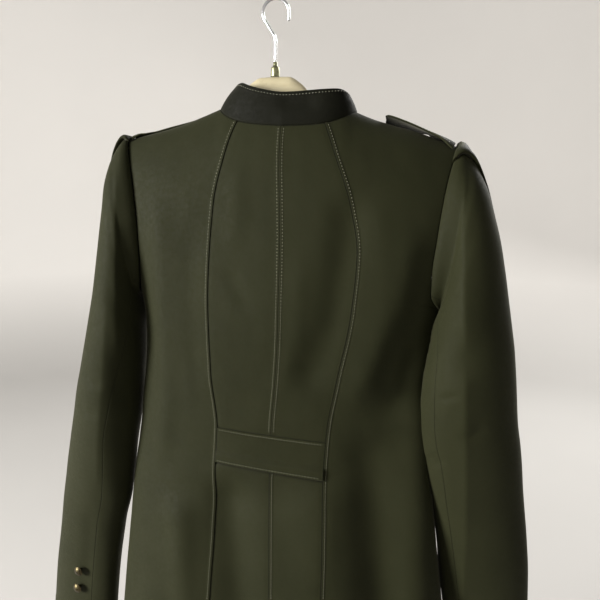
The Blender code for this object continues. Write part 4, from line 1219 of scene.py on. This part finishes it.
def seam_turns(row):
    """The turns of a sleeve's front and back seams."""
    return -np.radians(SLEEVE.at("front_seam", row)), np.radians(SLEEVE.at("back_seam", row))


def pleat_height(row):
    return PLEAT_RISE * smoothstep(row / 1.2) * smoothstep((6.0 - row) / 3.0)


def sleeve_rows(hand):
    """Rows down the sleeve at even distances, closer by the armhole and the cuff."""
    rows = np.linspace(0, SLEEVE_ROWS, 761)
    steps = []
    for degrees in (0, 90, 180, -90):
        points = sleeve_point(hand, np.full(rows.shape, math.radians(degrees)), rows)
        steps.append(np.linalg.norm(np.diff(points, axis=0), axis=-1))
    walked = np.concatenate(([0.0], np.cumsum(np.max(steps, axis=0))))
    places = spaced([np.zeros(1), walked[-1:]], [(PLAIN_NEAR, CUFF_NEAR)], 0.0030)[0]
    return np.interp(places, walked, rows)


def sleeve_cloth(hand, upper):
    """A sleeve's upper piece, with its pleats, or its under one, with its creases and cuff."""
    rows = sleeve_rows(hand)
    front, back = seam_turns(rows)
    if upper:
        pleat_back, pleat_front = (math.radians(value) for value in PLEAT_TURN[hand])
        closing = 1 - 0.78 * smoothstep(rows / 4.6)
        stops = [front, -pleat_front * closing, pleat_back * closing, back]
        ledge = (0.0, 0.0007, 0.0016, 0.0030)
        nears = [(PLAIN_NEAR, ledge), (ledge, ledge), (ledge, PLAIN_NEAR)]
    else:
        stops = [back, math.tau + front]
        nears = [(PLAIN_NEAR, PLAIN_NEAR)]
    low, high = stops[0], stops[-1]
    known = low[:, None] + (high - low)[:, None] * np.linspace(0, 1, 181)[None]
    walked = reach_along(sleeve_point(hand, known, rows[:, None]), 1)
    at_stops = [np.array([np.interp(t, k, w) for t, k, w in zip(stop, known, walked)]) for stop in stops]
    across = spaced(at_stops, nears, 0.0028)
    turns = looked_up(across, walked, known)
    row = np.broadcast_to(rows[:, None], turns.shape)
    points, out, way = sleeve_frame(hand, turns, row)
    raised = np.zeros(turns.shape)
    shift = np.zeros(turns.shape)
    if upper:
        points, out, way, raised, shift, across = add_pleats(at_stops, across, rows, points, out, way)
    down = reach_along(points, 0)
    hung = hang(points * (SIGN[hand], 1, 1))
    side = np.where(out[..., 1] > 0, 1.0, 0.6) * smoothstep(down / 0.02)
    relief = crease_rise(hung, SLEEVE_CREASES[hand]) * side
    relief += waves(points, 11 + SIGN[hand], 0.0010) * smoothstep(down / 0.03)
    kinds = {"left": "plain", "right": "plain", "top": "plain", "bottom": "cuff"}
    relief += edge_rise("cuff", down[-1] - down, across)
    points = points + out * (raised + relief)[..., None] + way * shift[..., None]
    hung = hang(points * (SIGN[hand], 1, 1))
    out = out * (SIGN[hand], 1, 1)
    # Painted shade: darker in the undercut folds under the pleats' ledges
    wear_and_shade = -0.5 * np.minimum(abs(shift) / 0.001, 1.0) * (raised < 0.001)
    cloth = Cloth(hung, out, stacked(across, -down), wear_and_shade)
    turn_edges(cloth, kinds)
    return cloth


def add_pleats(at_stops, across, rows, points, out, way):
    """Raises the middle of a sleeve head between two ledges, each an undercut fold of cloth."""
    columns = []
    height = pleat_height(rows)
    scale = height / PLEAT_RISE
    gape = PLEAT_GAPE * smoothstep(rows / 2) * smoothstep((5.0 - rows) / 2.5)
    lowest = int(np.argmin(abs(across[0] - at_stops[1][0])))
    highest = int(np.argmin(abs(across[0] - at_stops[2][0])))
    for column in range(across.shape[1]):
        head = lowest <= column <= highest
        from_ledge = np.minimum(abs(across[:, column] - at_stops[1]), abs(across[:, column] - at_stops[2]))
        if head:
            lift = height + gape * np.exp(-((from_ledge / 0.008) ** 2))
        else:
            lift = -0.0006 * scale * np.exp(-((from_ledge / 0.004) ** 2))
        fold = []
        for number, degrees in enumerate((40, 80, 120, 150)):
            angle = math.radians(degrees)
            radius = LEDGE_ROUND * scale
            over = radius * math.sin(angle) + LEDGE_DEPTH * scale + 0.00002 * (number + 1)
            fold.append((over, lift - radius * (1 - math.cos(angle))))
        fold.append((0.0006 * scale + 0.00012, -0.0006 * scale))
        if column == lowest:
            for over, rise in fold[::-1]:
                columns.append((column, rise, -over))
        columns.append((column, lift, np.zeros(len(rows))))
        if column == highest:
            for over, rise in fold:
                columns.append((column, rise, over))
    which = [column for column, _, _ in columns]
    raised = np.stack([rise for _, rise, _ in columns], axis=1)
    shift = np.stack([over for _, _, over in columns], axis=1)
    return points[:, which], out[:, which], way[:, which], raised, shift, across[:, which] + shift


def make_sleeves(cloth):
    for hand in SIGN:
        for name, upper in (("upper", True), ("under", False)):
            add_cloth(f"sleeve_{name}_{hand}", sleeve_cloth(hand, upper), cloth)


def shoulder_z(x, y):
    """Height of the shoulder's outside over a place in plan."""
    low, high = ridge(x) - 0.08, ridge(x)
    for _ in range(40):
        z = (low + high) / 2
        reach = np.where(y >= 0, abs(body_y(1, x, z)), abs(body_y(-1, x, z)))
        low = np.where(reach > abs(y), z, low)
        high = np.where(reach > abs(y), high, z)
    return high


def make_epaulettes(cloth):
    near = (0.0, 0.0002, 0.0006, 0.0011, 0.0022, 0.0034)
    rows, columns = (
        spaced([np.zeros(1), np.full(1, size)], [(near, near)], 0.0022)[0]
        for size in (EPAULETTE_LENGTH, EPAULETTE_WIDTH)
    )
    share, place = np.meshgrid(columns / EPAULETTE_WIDTH * 2 - 1, EPAULETTE_START + rows)
    for hand, sign in SIGN.items():
        half = EPAULETTE.at("half_width", place)
        sewn = smoothstep((place - 0.160) / 0.030)
        y = EPAULETTE_MIDDLE[hand] * (1 - 0.6 * sewn) + half * share
        x = place - EPAULETTE_END_CURVE * sewn * (y / 0.0175) ** 2
        lift = EPAULETTE.at(f"{hand}_lift", place) + EPAULETTE.at(f"{hand}_rise", place) * (1 - share) / 2
        droop = EPAULETTE_DROOP[hand] * share * share * (1 - sewn)
        flat_z = ridge(sign * x) - droop
        on_cloth = shoulder_z(sign * x, y)
        held = flat_z + (on_cloth - flat_z) * sewn + lift
        z = np.maximum(held, on_cloth + 0.0004) + EPAULETTE_WALL / 2
        middle = hang(stacked(sign * x, y, z))
        up = grid_normals(middle, np.broadcast_to((0.0, 0.0, 1.0), middle.shape))
        across = reach_along(middle, 1)
        down = reach_along(middle, 0)
        away = np.minimum(np.minimum(across, across[:, -1:] - across), np.minimum(down, down[-1:] - down))
        flat = stacked(across, -down)
        # Lighter rubbed edges on the top; the underside is painted dark all over, as painted shade
        wear_and_shade = (0.5 * np.exp(-((away / 0.0016) ** 2)), np.full(away.shape, -0.8))
        name = f"cloth_epaulette_{hand}"
        mesh = closed_plate(name, middle, up, EPAULETTE_WALL / 2, 0.0011, away, flat, wear_and_shade=wear_and_shade)
        top = middle + up * EPAULETTE_WALL / 2
        for column in (5, -6):
            THREADS.append((top[6:, column], up[6:, column]))
        declare(add_piece(mesh, cloth, [f"epaulette_{hand}"]), "epaulette")


def make_threads(thread):
    """Short stitches of thread along each kept line, each dipping into the cloth at its ends.

    A station has its share of the stitch's length, its thickness and its height on the cloth.
    """
    random = np.random.default_rng(3)
    start = [(-0.5, 0.0, -0.0003), (-0.34, 0.75, 0.0)]
    end = [(-along, thick, height) for along, thick, height in start[::-1]]
    stations = [*start, (0.0, 1.0, 0.00012), *end]
    sides = 6
    groups = {"back": [], "front": []}
    for points, normals in THREADS:
        walked = reach_along(points[:, None], 0)[:, 0]
        count = int((walked[-1] - 0.004) / STITCH_PITCH)
        places = 0.002 + STITCH_PITCH * (0.5 + np.arange(count))
        places = places + random.uniform(-0.00012, 0.00012, count)
        middle = looked_up([places] * 3, [walked] * 3, points.T).T
        ahead = looked_up([places + 0.001] * 3, [walked] * 3, points.T).T
        normal = unit(looked_up([places] * 3, [walked] * 3, normals.T).T)
        way = unit(ahead - middle + 1e-9)
        way = unit(way - normal * dot(way, normal))
        side = np.cross(normal, way)
        way = unit(way + side * random.normal(0, 0.05, (count, 1)))
        group = groups["back" if np.mean(points[:, 1]) > 0 else "front"]
        group.append((middle, way, normal, np.cross(normal, way)))
    for name, found in groups.items():
        middle, way, normal, side = (np.concatenate(parts) for parts in zip(*found))
        rings = []
        for along, thick, height in stations:
            centre = middle + way * along * STITCH_LENGTH + normal * height
            if not thick:
                rings.append(centre[:, None])
                continue
            for k in range(sides):
                angle = math.tau * k / sides
                across = side * math.cos(angle) + normal * math.sin(angle)
                rings.append((centre + across * THREAD_RADIUS * thick)[:, None])
        points = np.concatenate(rings, axis=1)
        faces = []
        for k in range(sides):
            after = (k + 1) % sides
            faces.append((0, 1 + after, 1 + k, 1 + k))
            for ring in (1, 1 + sides):
                faces.append((ring + k, ring + after, ring + sides + after, ring + sides + k))
            faces.append((1 + 2 * sides + k, 1 + 2 * sides + after, 1 + 3 * sides, 1 + 3 * sides))
        each = points.shape[1]
        mesh = bpy.data.meshes.new(f"thread_{name}")
        numbers = np.array(faces)[None] + each * np.arange(len(points))[:, None, None]
        polygons = [tuple(dict.fromkeys(face)) for face in numbers.reshape(-1, 4).tolist()]
        mesh.from_pydata(points.reshape(-1, 3).tolist(), [], polygons)
        mesh.shade_smooth()
        add_piece(mesh, thread, [])


def ring_numbers(points):
    """Vertex numbers of closed rings, with each ring's first one again at its end."""
    number = np.arange(points.shape[0] * points.shape[1]).reshape(points.shape[:2])
    return np.concatenate((number, number[:, :1]), axis=1)


def loft(name, rings):
    """A closed skin over a list of rings of points, shut at its first and last ring."""
    points = np.array(rings)
    number = ring_numbers(points)
    centre = points.mean(axis=1, keepdims=True)
    corners = facing(quads(number), points.reshape(-1, 3), (points - centre).reshape(-1, 3))
    faces = corners.tolist() + [number[0, :-1].tolist(), number[-1, :-1][::-1].tolist()]
    mesh = bpy.data.meshes.new(name)
    mesh.from_pydata(points.reshape(-1, 3).tolist(), [], faces)
    mesh.shade_smooth()
    mesh.set_sharp_from_angle(angle=math.radians(60))
    return mesh


def lathe_rings(profile, sides, point, normal):
    """Rings about a line through a point, from a profile of (radius, height)."""
    across = unit(np.cross(normal, (0.3, 0.1, 0.9) if abs(normal[2]) < 0.9 else (1.0, 0.0, 0.0)))
    beside = np.cross(normal, across)
    turns = np.linspace(0, math.tau, sides, endpoint=False)
    round_it = across * np.cos(turns)[:, None] + beside * np.sin(turns)[:, None]
    return [point + normal * height + round_it * max(radius, 0.00002) for radius, height in profile]


def button_profile(wide, tall):
    """A domed cap with a rolled rim, a shank under it and a loop that reaches into the cloth."""
    dome_radius, dome_low, dome_height, dome_end = 0.0057, 0.0044, 0.0028, 18
    rim_middle, rim_height, rim_across, rim_up = 0.0059, 0.0043, 0.0007, 0.0008
    profile = [(0.0, dome_low + dome_height)]
    for degrees in np.linspace(90, dome_end, 13):
        angle = math.radians(degrees)
        radius = dome_radius * math.cos(angle) / math.cos(math.radians(dome_end))
        profile.append((radius, dome_low + dome_height * math.sin(angle) ** 1.4))
    for degrees in np.linspace(110, -125, 9):
        angle = math.radians(degrees)
        profile.append((rim_middle + rim_across * math.cos(angle), rim_height + rim_up * math.sin(angle)))
    profile += [(0.0050, 0.0032), (0.0030, 0.0026), (0.0021, 0.0021), (0.0019, 0.0010), (0.0019, -0.0012)]
    return [(radius * wide, height * tall if height > 0 else height) for radius, height in profile]


def make_buttons(brass):
    for number in range(FRONT_BUTTONS):
        z = np.array(FRONT_BUTTON_TOP - FRONT_BUTTON_PITCH * number)
        zero = np.array(0.0)
        normal = body_normal(-1, zero, z)
        point = stacked(zero, body_y(-1, zero, z), z) + normal * FRONT_STEP
        add_button(f"front_button_{number + 1}", hang(point), normal, FRONT_BUTTON_SCALE, brass)
    for hand, sign in SIGN.items():
        rows = np.arange(50 * SLEEVE_ROWS) / 50
        quarter = np.full(rows.shape, math.pi / 2)
        middle = (sleeve_point(hand, quarter, rows) + sleeve_point(hand, -quarter, rows)) / 2
        for number, z in enumerate(CUFF_BUTTON_HEIGHTS, start=1):
            row = rows[np.argmax(middle[:, 2] < z)]
            turn = np.array(math.radians(float(SLEEVE.at("back_seam", row))) - CUFF_BUTTON_FROM_SEAM)
            point, out, _ = sleeve_frame(hand, turn, np.array(row))
            mirror = np.array((sign, 1.0, 1.0))
            name = f"cuff_button_{hand}_{number}"
            add_button(name, hang(point * mirror), out * mirror, (1.0, 1.0), brass)


def add_button(name, point, normal, scales, brass):
    rings = lathe_rings(button_profile(*scales), 40, point + normal * BUTTON_GAP, normal)
    add_piece(loft(f"visual_{name}", rings), brass, [name])


def make_hanger(wood, collar, wire):
    tip = np.linspace(HANGER_TIP_START, HANGER_TIP, 9)
    straight = np.linspace(-HANGER_STRAIGHT, HANGER_STRAIGHT, 161)
    places = np.concatenate((-tip[::-1], straight, tip))
    turns = np.linspace(0, math.tau, 48, endpoint=False)
    rings = []
    for x in places:
        end = min(1.0, (HANGER_TIP - abs(x)) / HANGER_TIP_ROUND)
        round_end = max(math.sqrt(max(1 - (1 - end) ** 2, 0.0)), 0.02)
        half_height = float(HANGER.at("half_height", abs(x))) * round_end
        half_depth = float(HANGER.at("half_depth", abs(x))) * round_end
        middle = float(HANGER.at("top", abs(x)) - HANGER.at("half_height", abs(x)))
        middle += HANGER_TILT * x
        y, z = half_depth * np.sin(turns), middle + half_height * np.cos(turns)
        rings.append(stacked(np.full(turns.shape, x), y, z))
    add_piece(loft("visual_hanger_body", rings), wood, ["hanger_body"])

    rings = lathe_rings(NECK_PIECE_PROFILE, 40, np.zeros(3), np.array((0.0, 0.0, 1.0)))
    add_piece(loft("visual_hanger_neck", rings), collar, ["hanger_neck"])

    centre_z = WIRE_RADIUS - HOOK_RADIUS
    tangent = math.acos(HOOK_RADIUS / (centre_z - HOOK_KINK))
    start = (HOOK_RADIUS * math.sin(tangent), centre_z - HOOK_RADIUS * math.cos(tangent))
    line = [(0.0, HOOK_STEM_END), (0.0, HOOK_KINK - 0.014), (0.0, HOOK_KINK - 0.006)]
    for share in np.linspace(0, 1, 9):
        bend = smoothstep(share)
        line.append((start[0] * 0.14 * bend * share, HOOK_KINK - 0.0045 + share * 0.0075))
    for share in (0.25, 0.5, 0.75):
        line.append((start[0] * share, HOOK_KINK + (start[1] - HOOK_KINK) * share))
    first = tangent - math.pi / 2
    for k in range(61):
        turn = first + (math.pi - first) * k / 60
        line.append((HOOK_RADIUS * math.cos(turn), centre_z + HOOK_RADIUS * math.sin(turn)))
    line.append((-HOOK_RADIUS, centre_z - HOOK_TIP_DROP * 0.5))
    line.append((-HOOK_RADIUS, centre_z - HOOK_TIP_DROP))
    add_piece(tube("visual_hanger_hook", line, WIRE_RADIUS), wire, ["hanger_hook"])


def tube(name, line, radius):
    """A round wire along (x, z) points, with a rounded tip."""
    line = np.array(line)
    way = unit(np.gradient(line, axis=0))
    line = np.concatenate((line, line[-1:] + way[-1:] * np.array((0.4, 0.75, 0.95))[:, None] * radius))
    way = np.concatenate((way, np.repeat(way[-1:], 3, axis=0)))
    size = np.full(len(line), radius)
    size[-3:] *= (0.9, 0.62, 0.2)
    rings = []
    for (x, z), (wx, wz), r in zip(line, way, size):
        turns = np.linspace(0, math.tau, 20, endpoint=False)
        across, beside = r * np.cos(turns), r * np.sin(turns)
        rings.append(stacked(x - wz * across, beside, z + wx * across))
    return loft(name, rings)


def add_piece(mesh, material, nodes):
    piece = bpy.data.objects.new(mesh.name, mesh)
    mesh.materials.append(material)
    bpy.context.scene.collection.objects.link(piece)
    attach(piece, "root")
    if nodes:
        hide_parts(*nodes)
    return piece


def add_cloth(node, cloth, material):
    piece = add_piece(cloth.mesh(f"cloth_{node}"), material, [node])
    declare(piece, node)


def declare(piece, node):
    for ending in ("_left", "_right"):
        node = node.removesuffix(ending)


class Nodes:
    """Short calls for building one material."""

    def __init__(self, name, roughness, metallic=0.0):
        self.material = bpy.data.materials.new(name)
        self.material.use_nodes = True
        self.tree = self.material.node_tree
        self.shader = self.tree.nodes["Principled BSDF"]
        self.set("Roughness", roughness)
        self.set("Metallic", metallic)

    def set(self, socket, value):
        self.shader.inputs[socket].default_value = value

    def add(self, kind, inputs=(), **settings):
        node = self.tree.nodes.new(kind)
        for key, value in settings.items():
            setattr(node, key, value)
        for socket, value in dict(inputs).items():
            if isinstance(value, bpy.types.NodeSocket):
                self.tree.links.new(value, node.inputs[socket])
            else:
                node.inputs[socket].default_value = value
        return node

    def link(self, output, socket):
        self.tree.links.new(output, self.shader.inputs[socket])

    def noise(self, vector, scale, detail=3.0, roughness=0.55, distortion=0.0):
        names = ("Vector", "Scale", "Detail", "Roughness", "Distortion")
        inputs = dict(zip(names, (vector, scale, detail, roughness, distortion)))
        return self.add("ShaderNodeTexNoise", inputs).outputs["Fac"]

    def ramp(self, value, low, high, out_low, out_high):
        names = ("Value", "From Min", "From Max", "To Min", "To Max")
        inputs = dict(zip(names, (value, low, high, out_low, out_high)))
        return self.add("ShaderNodeMapRange", inputs).outputs["Result"]

    def blend(self, factor, first, second):
        """A mix of two colours, each a socket or three values."""
        first, second = ((*c, 1.0) if isinstance(c, tuple) else c for c in (first, second))
        return self.add("ShaderNodeMix", {0: factor, 6: first, 7: second}, data_type="RGBA").outputs[2]

    def maths(self, kind, first, second):
        return self.add("ShaderNodeMath", {0: first, 1: second}, operation=kind).outputs[0]

    def bump(self, height, distance, strength, normal=None):
        inputs = {"Height": height, "Distance": distance, "Strength": strength}
        if normal is not None:
            inputs["Normal"] = normal
        return self.add("ShaderNodeBump", inputs).outputs["Normal"]


def toned(colour, share):
    return tuple(share * value for value in colour)


def cloth_material(name, share, turn):
    """Smooth wool twill: fine diagonal ribs, a soft nap, mottled colour and lighter worn edges.

    The share darkens its colours, and the turn in degrees is the ribs' direction on the cut.
    The collar's darker share is painted shade. Where the attribute is negative, the colour is
    darkened as painted shade in seams, folds and under other pieces.
    """
    base, light, dark = (toned(colour, share) for colour in (WOOL, WOOL_LIGHT, WOOL_DARK))
    made = Nodes(name, 0.72)
    made.set("Specular IOR Level", 0.08)
    made.set("Sheen Weight", 0.055)
    made.set("Sheen Roughness", 0.38)
    made.set("Sheen Tint", (0.86, 0.84, 0.66, 1.0))
    flat = made.add("ShaderNodeTexCoord").outputs["UV"]
    body = made.add("ShaderNodeTexCoord").outputs["Object"]
    turned = made.add("ShaderNodeMapping", {"Vector": flat, "Rotation": (0.0, 0.0, math.radians(turn))})
    bands = {"Scale": 419.0, "Distortion": 0.5, "Detail": 1.0, "Detail Scale": 2.0}
    bands["Vector"] = turned.outputs[0]
    ribs = made.add("ShaderNodeTexWave", bands, wave_type="BANDS", bands_direction="X").outputs["Fac"]
    fibres = made.noise(flat, 1700.0, 4.0, 0.65)
    nap = made.noise(body, 240.0, 4.0, 0.6)
    patches = made.noise(body, 26.0, 3.0, 0.6)
    broad = made.noise(body, 7.0, 2.0, 0.5)
    worn_and_shaded = made.add("ShaderNodeAttribute", attribute_name="wear_and_shade").outputs["Fac"]

    colour = made.blend(made.ramp(patches, 0.30, 0.70, 0.0, 1.0), dark, base)
    colour = made.blend(made.ramp(broad, 0.35, 0.70, 0.0, 0.55), colour, light)
    colour = made.blend(made.ramp(fibres, 0.25, 0.75, 0.0, 0.28), colour, light)
    colour = made.blend(made.ramp(ribs, 0.0, 1.0, 0.16, 0.0), colour, toned(dark, 0.45))
    colour = made.blend(made.ramp(worn_and_shaded, 0.05, 0.6, 0.0, 0.55), colour, toned(light, 1.5))
    # Painted shade where the attribute is negative: seams, stitch rows, pleat folds and undersides
    colour = made.blend(made.ramp(worn_and_shaded, -0.05, -0.7, 0.0, 0.75), colour, toned(dark, 0.35))
    made.link(colour, "Base Color")
    made.link(made.ramp(nap, 0.3, 0.7, 0.66, 0.82), "Roughness")
    height = made.maths("ADD", made.maths("MULTIPLY", ribs, 0.6), made.maths("MULTIPLY", fibres, 0.8))
    fine = made.bump(height, 0.00009, 0.55)
    made.link(made.bump(nap, 0.00025, 0.35, fine), "Normal")
    return made.material


def thread_material():
    made = Nodes("olive_thread", 0.5)
    made.set("Sheen Weight", 0.3)
    body = made.add("ShaderNodeTexCoord").outputs["Object"]
    spots = made.noise(body, 900.0, 3.0, 0.6)
    colour = made.blend(made.ramp(spots, 0.3, 0.7, 0.0, 1.0), (0.075, 0.075, 0.042), (0.150, 0.148, 0.095))
    made.link(colour, "Base Color")
    made.link(made.bump(made.noise(body, 2600.0, 2.0), 0.0001, 0.5), "Normal")
    return made.material


def metal_material(name):
    """Metal with tarnish in patches, fine scratches and uneven polish."""
    base, dark, rough_low, rough_high, scale, patina = METALS[name]
    made = Nodes(name, rough_high, 1.0)
    body = made.add("ShaderNodeTexCoord").outputs["Object"]
    patches = made.noise(body, scale, 5.0, 0.62)
    colour = made.blend(made.ramp(patches, 0.42, 0.62, 0.0, patina), base, dark)
    made.link(colour, "Base Color")
    stretched = made.add("ShaderNodeMapping", {"Vector": body, "Scale": (3000.0, 400.0, 500.0)})
    scratches = made.noise(stretched.outputs[0], 1.0, 3.0)
    made.link(made.ramp(made.noise(body, scale * 3, 4.0), 0.3, 0.7, rough_low, rough_high), "Roughness")
    fine = made.bump(scratches, 0.00004, 0.25)
    made.link(made.bump(patches, 0.0002, 0.25, fine), "Normal")
    return made.material


def lacquer_material():
    """Cream lacquer over shaped wood, with faint grain, yellowing and a few rubs."""
    made = Nodes("cream_lacquer", 0.3)
    made.set("Coat Weight", 0.35)
    made.set("Coat Roughness", 0.12)
    body = made.add("ShaderNodeTexCoord").outputs["Object"]
    grained = made.add("ShaderNodeMapping", {"Vector": body, "Scale": (12.0, 160.0, 160.0)})
    grain = made.noise(grained.outputs[0], 1.0, 5.0, 0.6, 0.6)
    stains = made.noise(body, 34.0, 4.0)
    colour = made.blend(made.ramp(grain, 0.3, 0.7, 0.0, 0.5), (0.36, 0.32, 0.21), (0.30, 0.25, 0.14))
    colour = made.blend(made.ramp(stains, 0.5, 0.75, 0.0, 0.35), colour, (0.22, 0.17, 0.09))
    made.link(colour, "Base Color")
    made.link(made.ramp(stains, 0.3, 0.7, 0.24, 0.42), "Roughness")
    made.link(made.bump(grain, 0.0003, 0.2), "Normal")
    return made.material


def make_stage():
    """A pale room without corners: floor, bend and wall all round the object."""
    flat = ROOM_RADIUS - ROOM_BEND
    line = [(radius, ROOM_FLOOR) for radius in (0.0, 0.5, 2.0, flat)]
    for angle in np.linspace(0, math.pi / 2, 17)[1:]:
        line.append((flat + ROOM_BEND * math.sin(angle), ROOM_FLOOR + ROOM_BEND * (1 - math.cos(angle))))
    line += [(ROOM_RADIUS, 1.2), (ROOM_RADIUS, ROOM_TOP)]
    turns = np.linspace(0, math.tau, 96, endpoint=False)
    points = np.array([[(r * math.cos(t), r * math.sin(t), z) for t in turns] for r, z in line])
    number = ring_numbers(points)
    number[0] = 0
    faces = [tuple(dict.fromkeys(face)) for face in quads(number).tolist()]
    mesh = bpy.data.meshes.new("studio")
    mesh.from_pydata(points.reshape(-1, 3).tolist(), [], faces)
    mesh.shade_smooth()
    made = Nodes("studio_paint", 0.9)
    made.set("Specular IOR Level", 0.1)
    body = made.add("ShaderNodeTexCoord").outputs["Object"]
    height = made.add("ShaderNodeSeparateXYZ", {"Vector": body}).outputs["Z"]
    # Painted shade: the floor and the foot of the wall are painted darker than the wall higher up, to even
    # out the stronger light that falls on them
    by_height = made.ramp(height, ROOM_FLOOR, -0.80, 0.0, 0.94)
    mottle = made.ramp(made.noise(body, 1.2, 2.0), 0.3, 0.7, 0.0, 0.06)
    tone = made.maths("ADD", by_height, mottle)
    made.link(made.blend(tone, (0.345, 0.335, 0.322), (0.56, 0.544, 0.523)), "Base Color")
    mesh.materials.append(made.material)
    studio = bpy.data.objects.new("studio", mesh)
    bpy.context.scene.collection.objects.link(studio)


def add_light(name, place, aim, size, power, colour):
    light = bpy.data.lights.new(name, "AREA")
    light.shape = "DISK"
    light.size = size
    light.energy = power
    light.color = colour
    item = bpy.data.objects.new(name, light)
    item.location = place
    item.rotation_mode = "QUATERNION"
    item.rotation_quaternion = (Vector(aim) - Vector(place)).to_track_quat("-Z", "Y")
    bpy.context.scene.collection.objects.link(item)


def make_lights():
    world = bpy.data.worlds.new("studio_air")
    world.use_nodes = True
    sky = world.node_tree.nodes["Background"]
    sky.inputs["Color"].default_value = (1.0, 0.98, 0.95, 1.0)
    sky.inputs["Strength"].default_value = 0.45
    bpy.context.scene.world = world
    for name, values in LIGHTS.items():
        add_light(name, *values)


def make_camera():
    """Behind the jacket and a little to its right, looking slightly down, as the photo is taken."""
    yaw, pitch, roll = (math.radians(angle) for angle in (CAMERA_YAW, CAMERA_PITCH, CAMERA_ROLL))
    ahead = Vector((math.sin(yaw) * math.cos(pitch), -math.cos(yaw) * math.cos(pitch), -math.sin(pitch)))
    right = Vector((-math.cos(yaw), -math.sin(yaw), 0.0))
    up = right.cross(ahead)
    right, up = right * math.cos(roll) + up * math.sin(roll), up * math.cos(roll) - right * math.sin(roll)
    lens = bpy.data.cameras.new("camera")
    lens.lens = CAMERA_LENS
    lens.sensor_width = 36.0
    lens.clip_start = 0.01
    camera = bpy.data.objects.new("camera", lens)
    place = Matrix((right, up, -ahead)).transposed().to_4x4()
    place.translation = CAMERA_PLACE
    camera.matrix_world = place
    bpy.context.scene.collection.objects.link(camera)
    bpy.context.scene.camera = camera


def main():
    bpy.context.scene.view_settings.view_transform = "Standard"
    make_camera()
    make_lights()
    make_stage()
    cloth = cloth_material("olive_wool_twill", 1.0, 63.0)
    strap = cloth_material("olive_wool_twill_cross", 1.0, -27.0)
    metals = {name: metal_material(name) for name in METALS}
    make_back(cloth)
    make_front(cloth)
    # The collar's darker copy of the wool is painted shade
    make_collar(cloth_material("olive_wool_twill_collar_painted_shade", COLLAR_PAINTED_SHADE, -27.0))
    make_sleeves(cloth)
    make_epaulettes(strap)
    make_threads(thread_material())
    make_buttons(metals["antique_brass"])
    make_hanger(lacquer_material(), metals["dull_brass"], metals["chromed_wire"])


main()
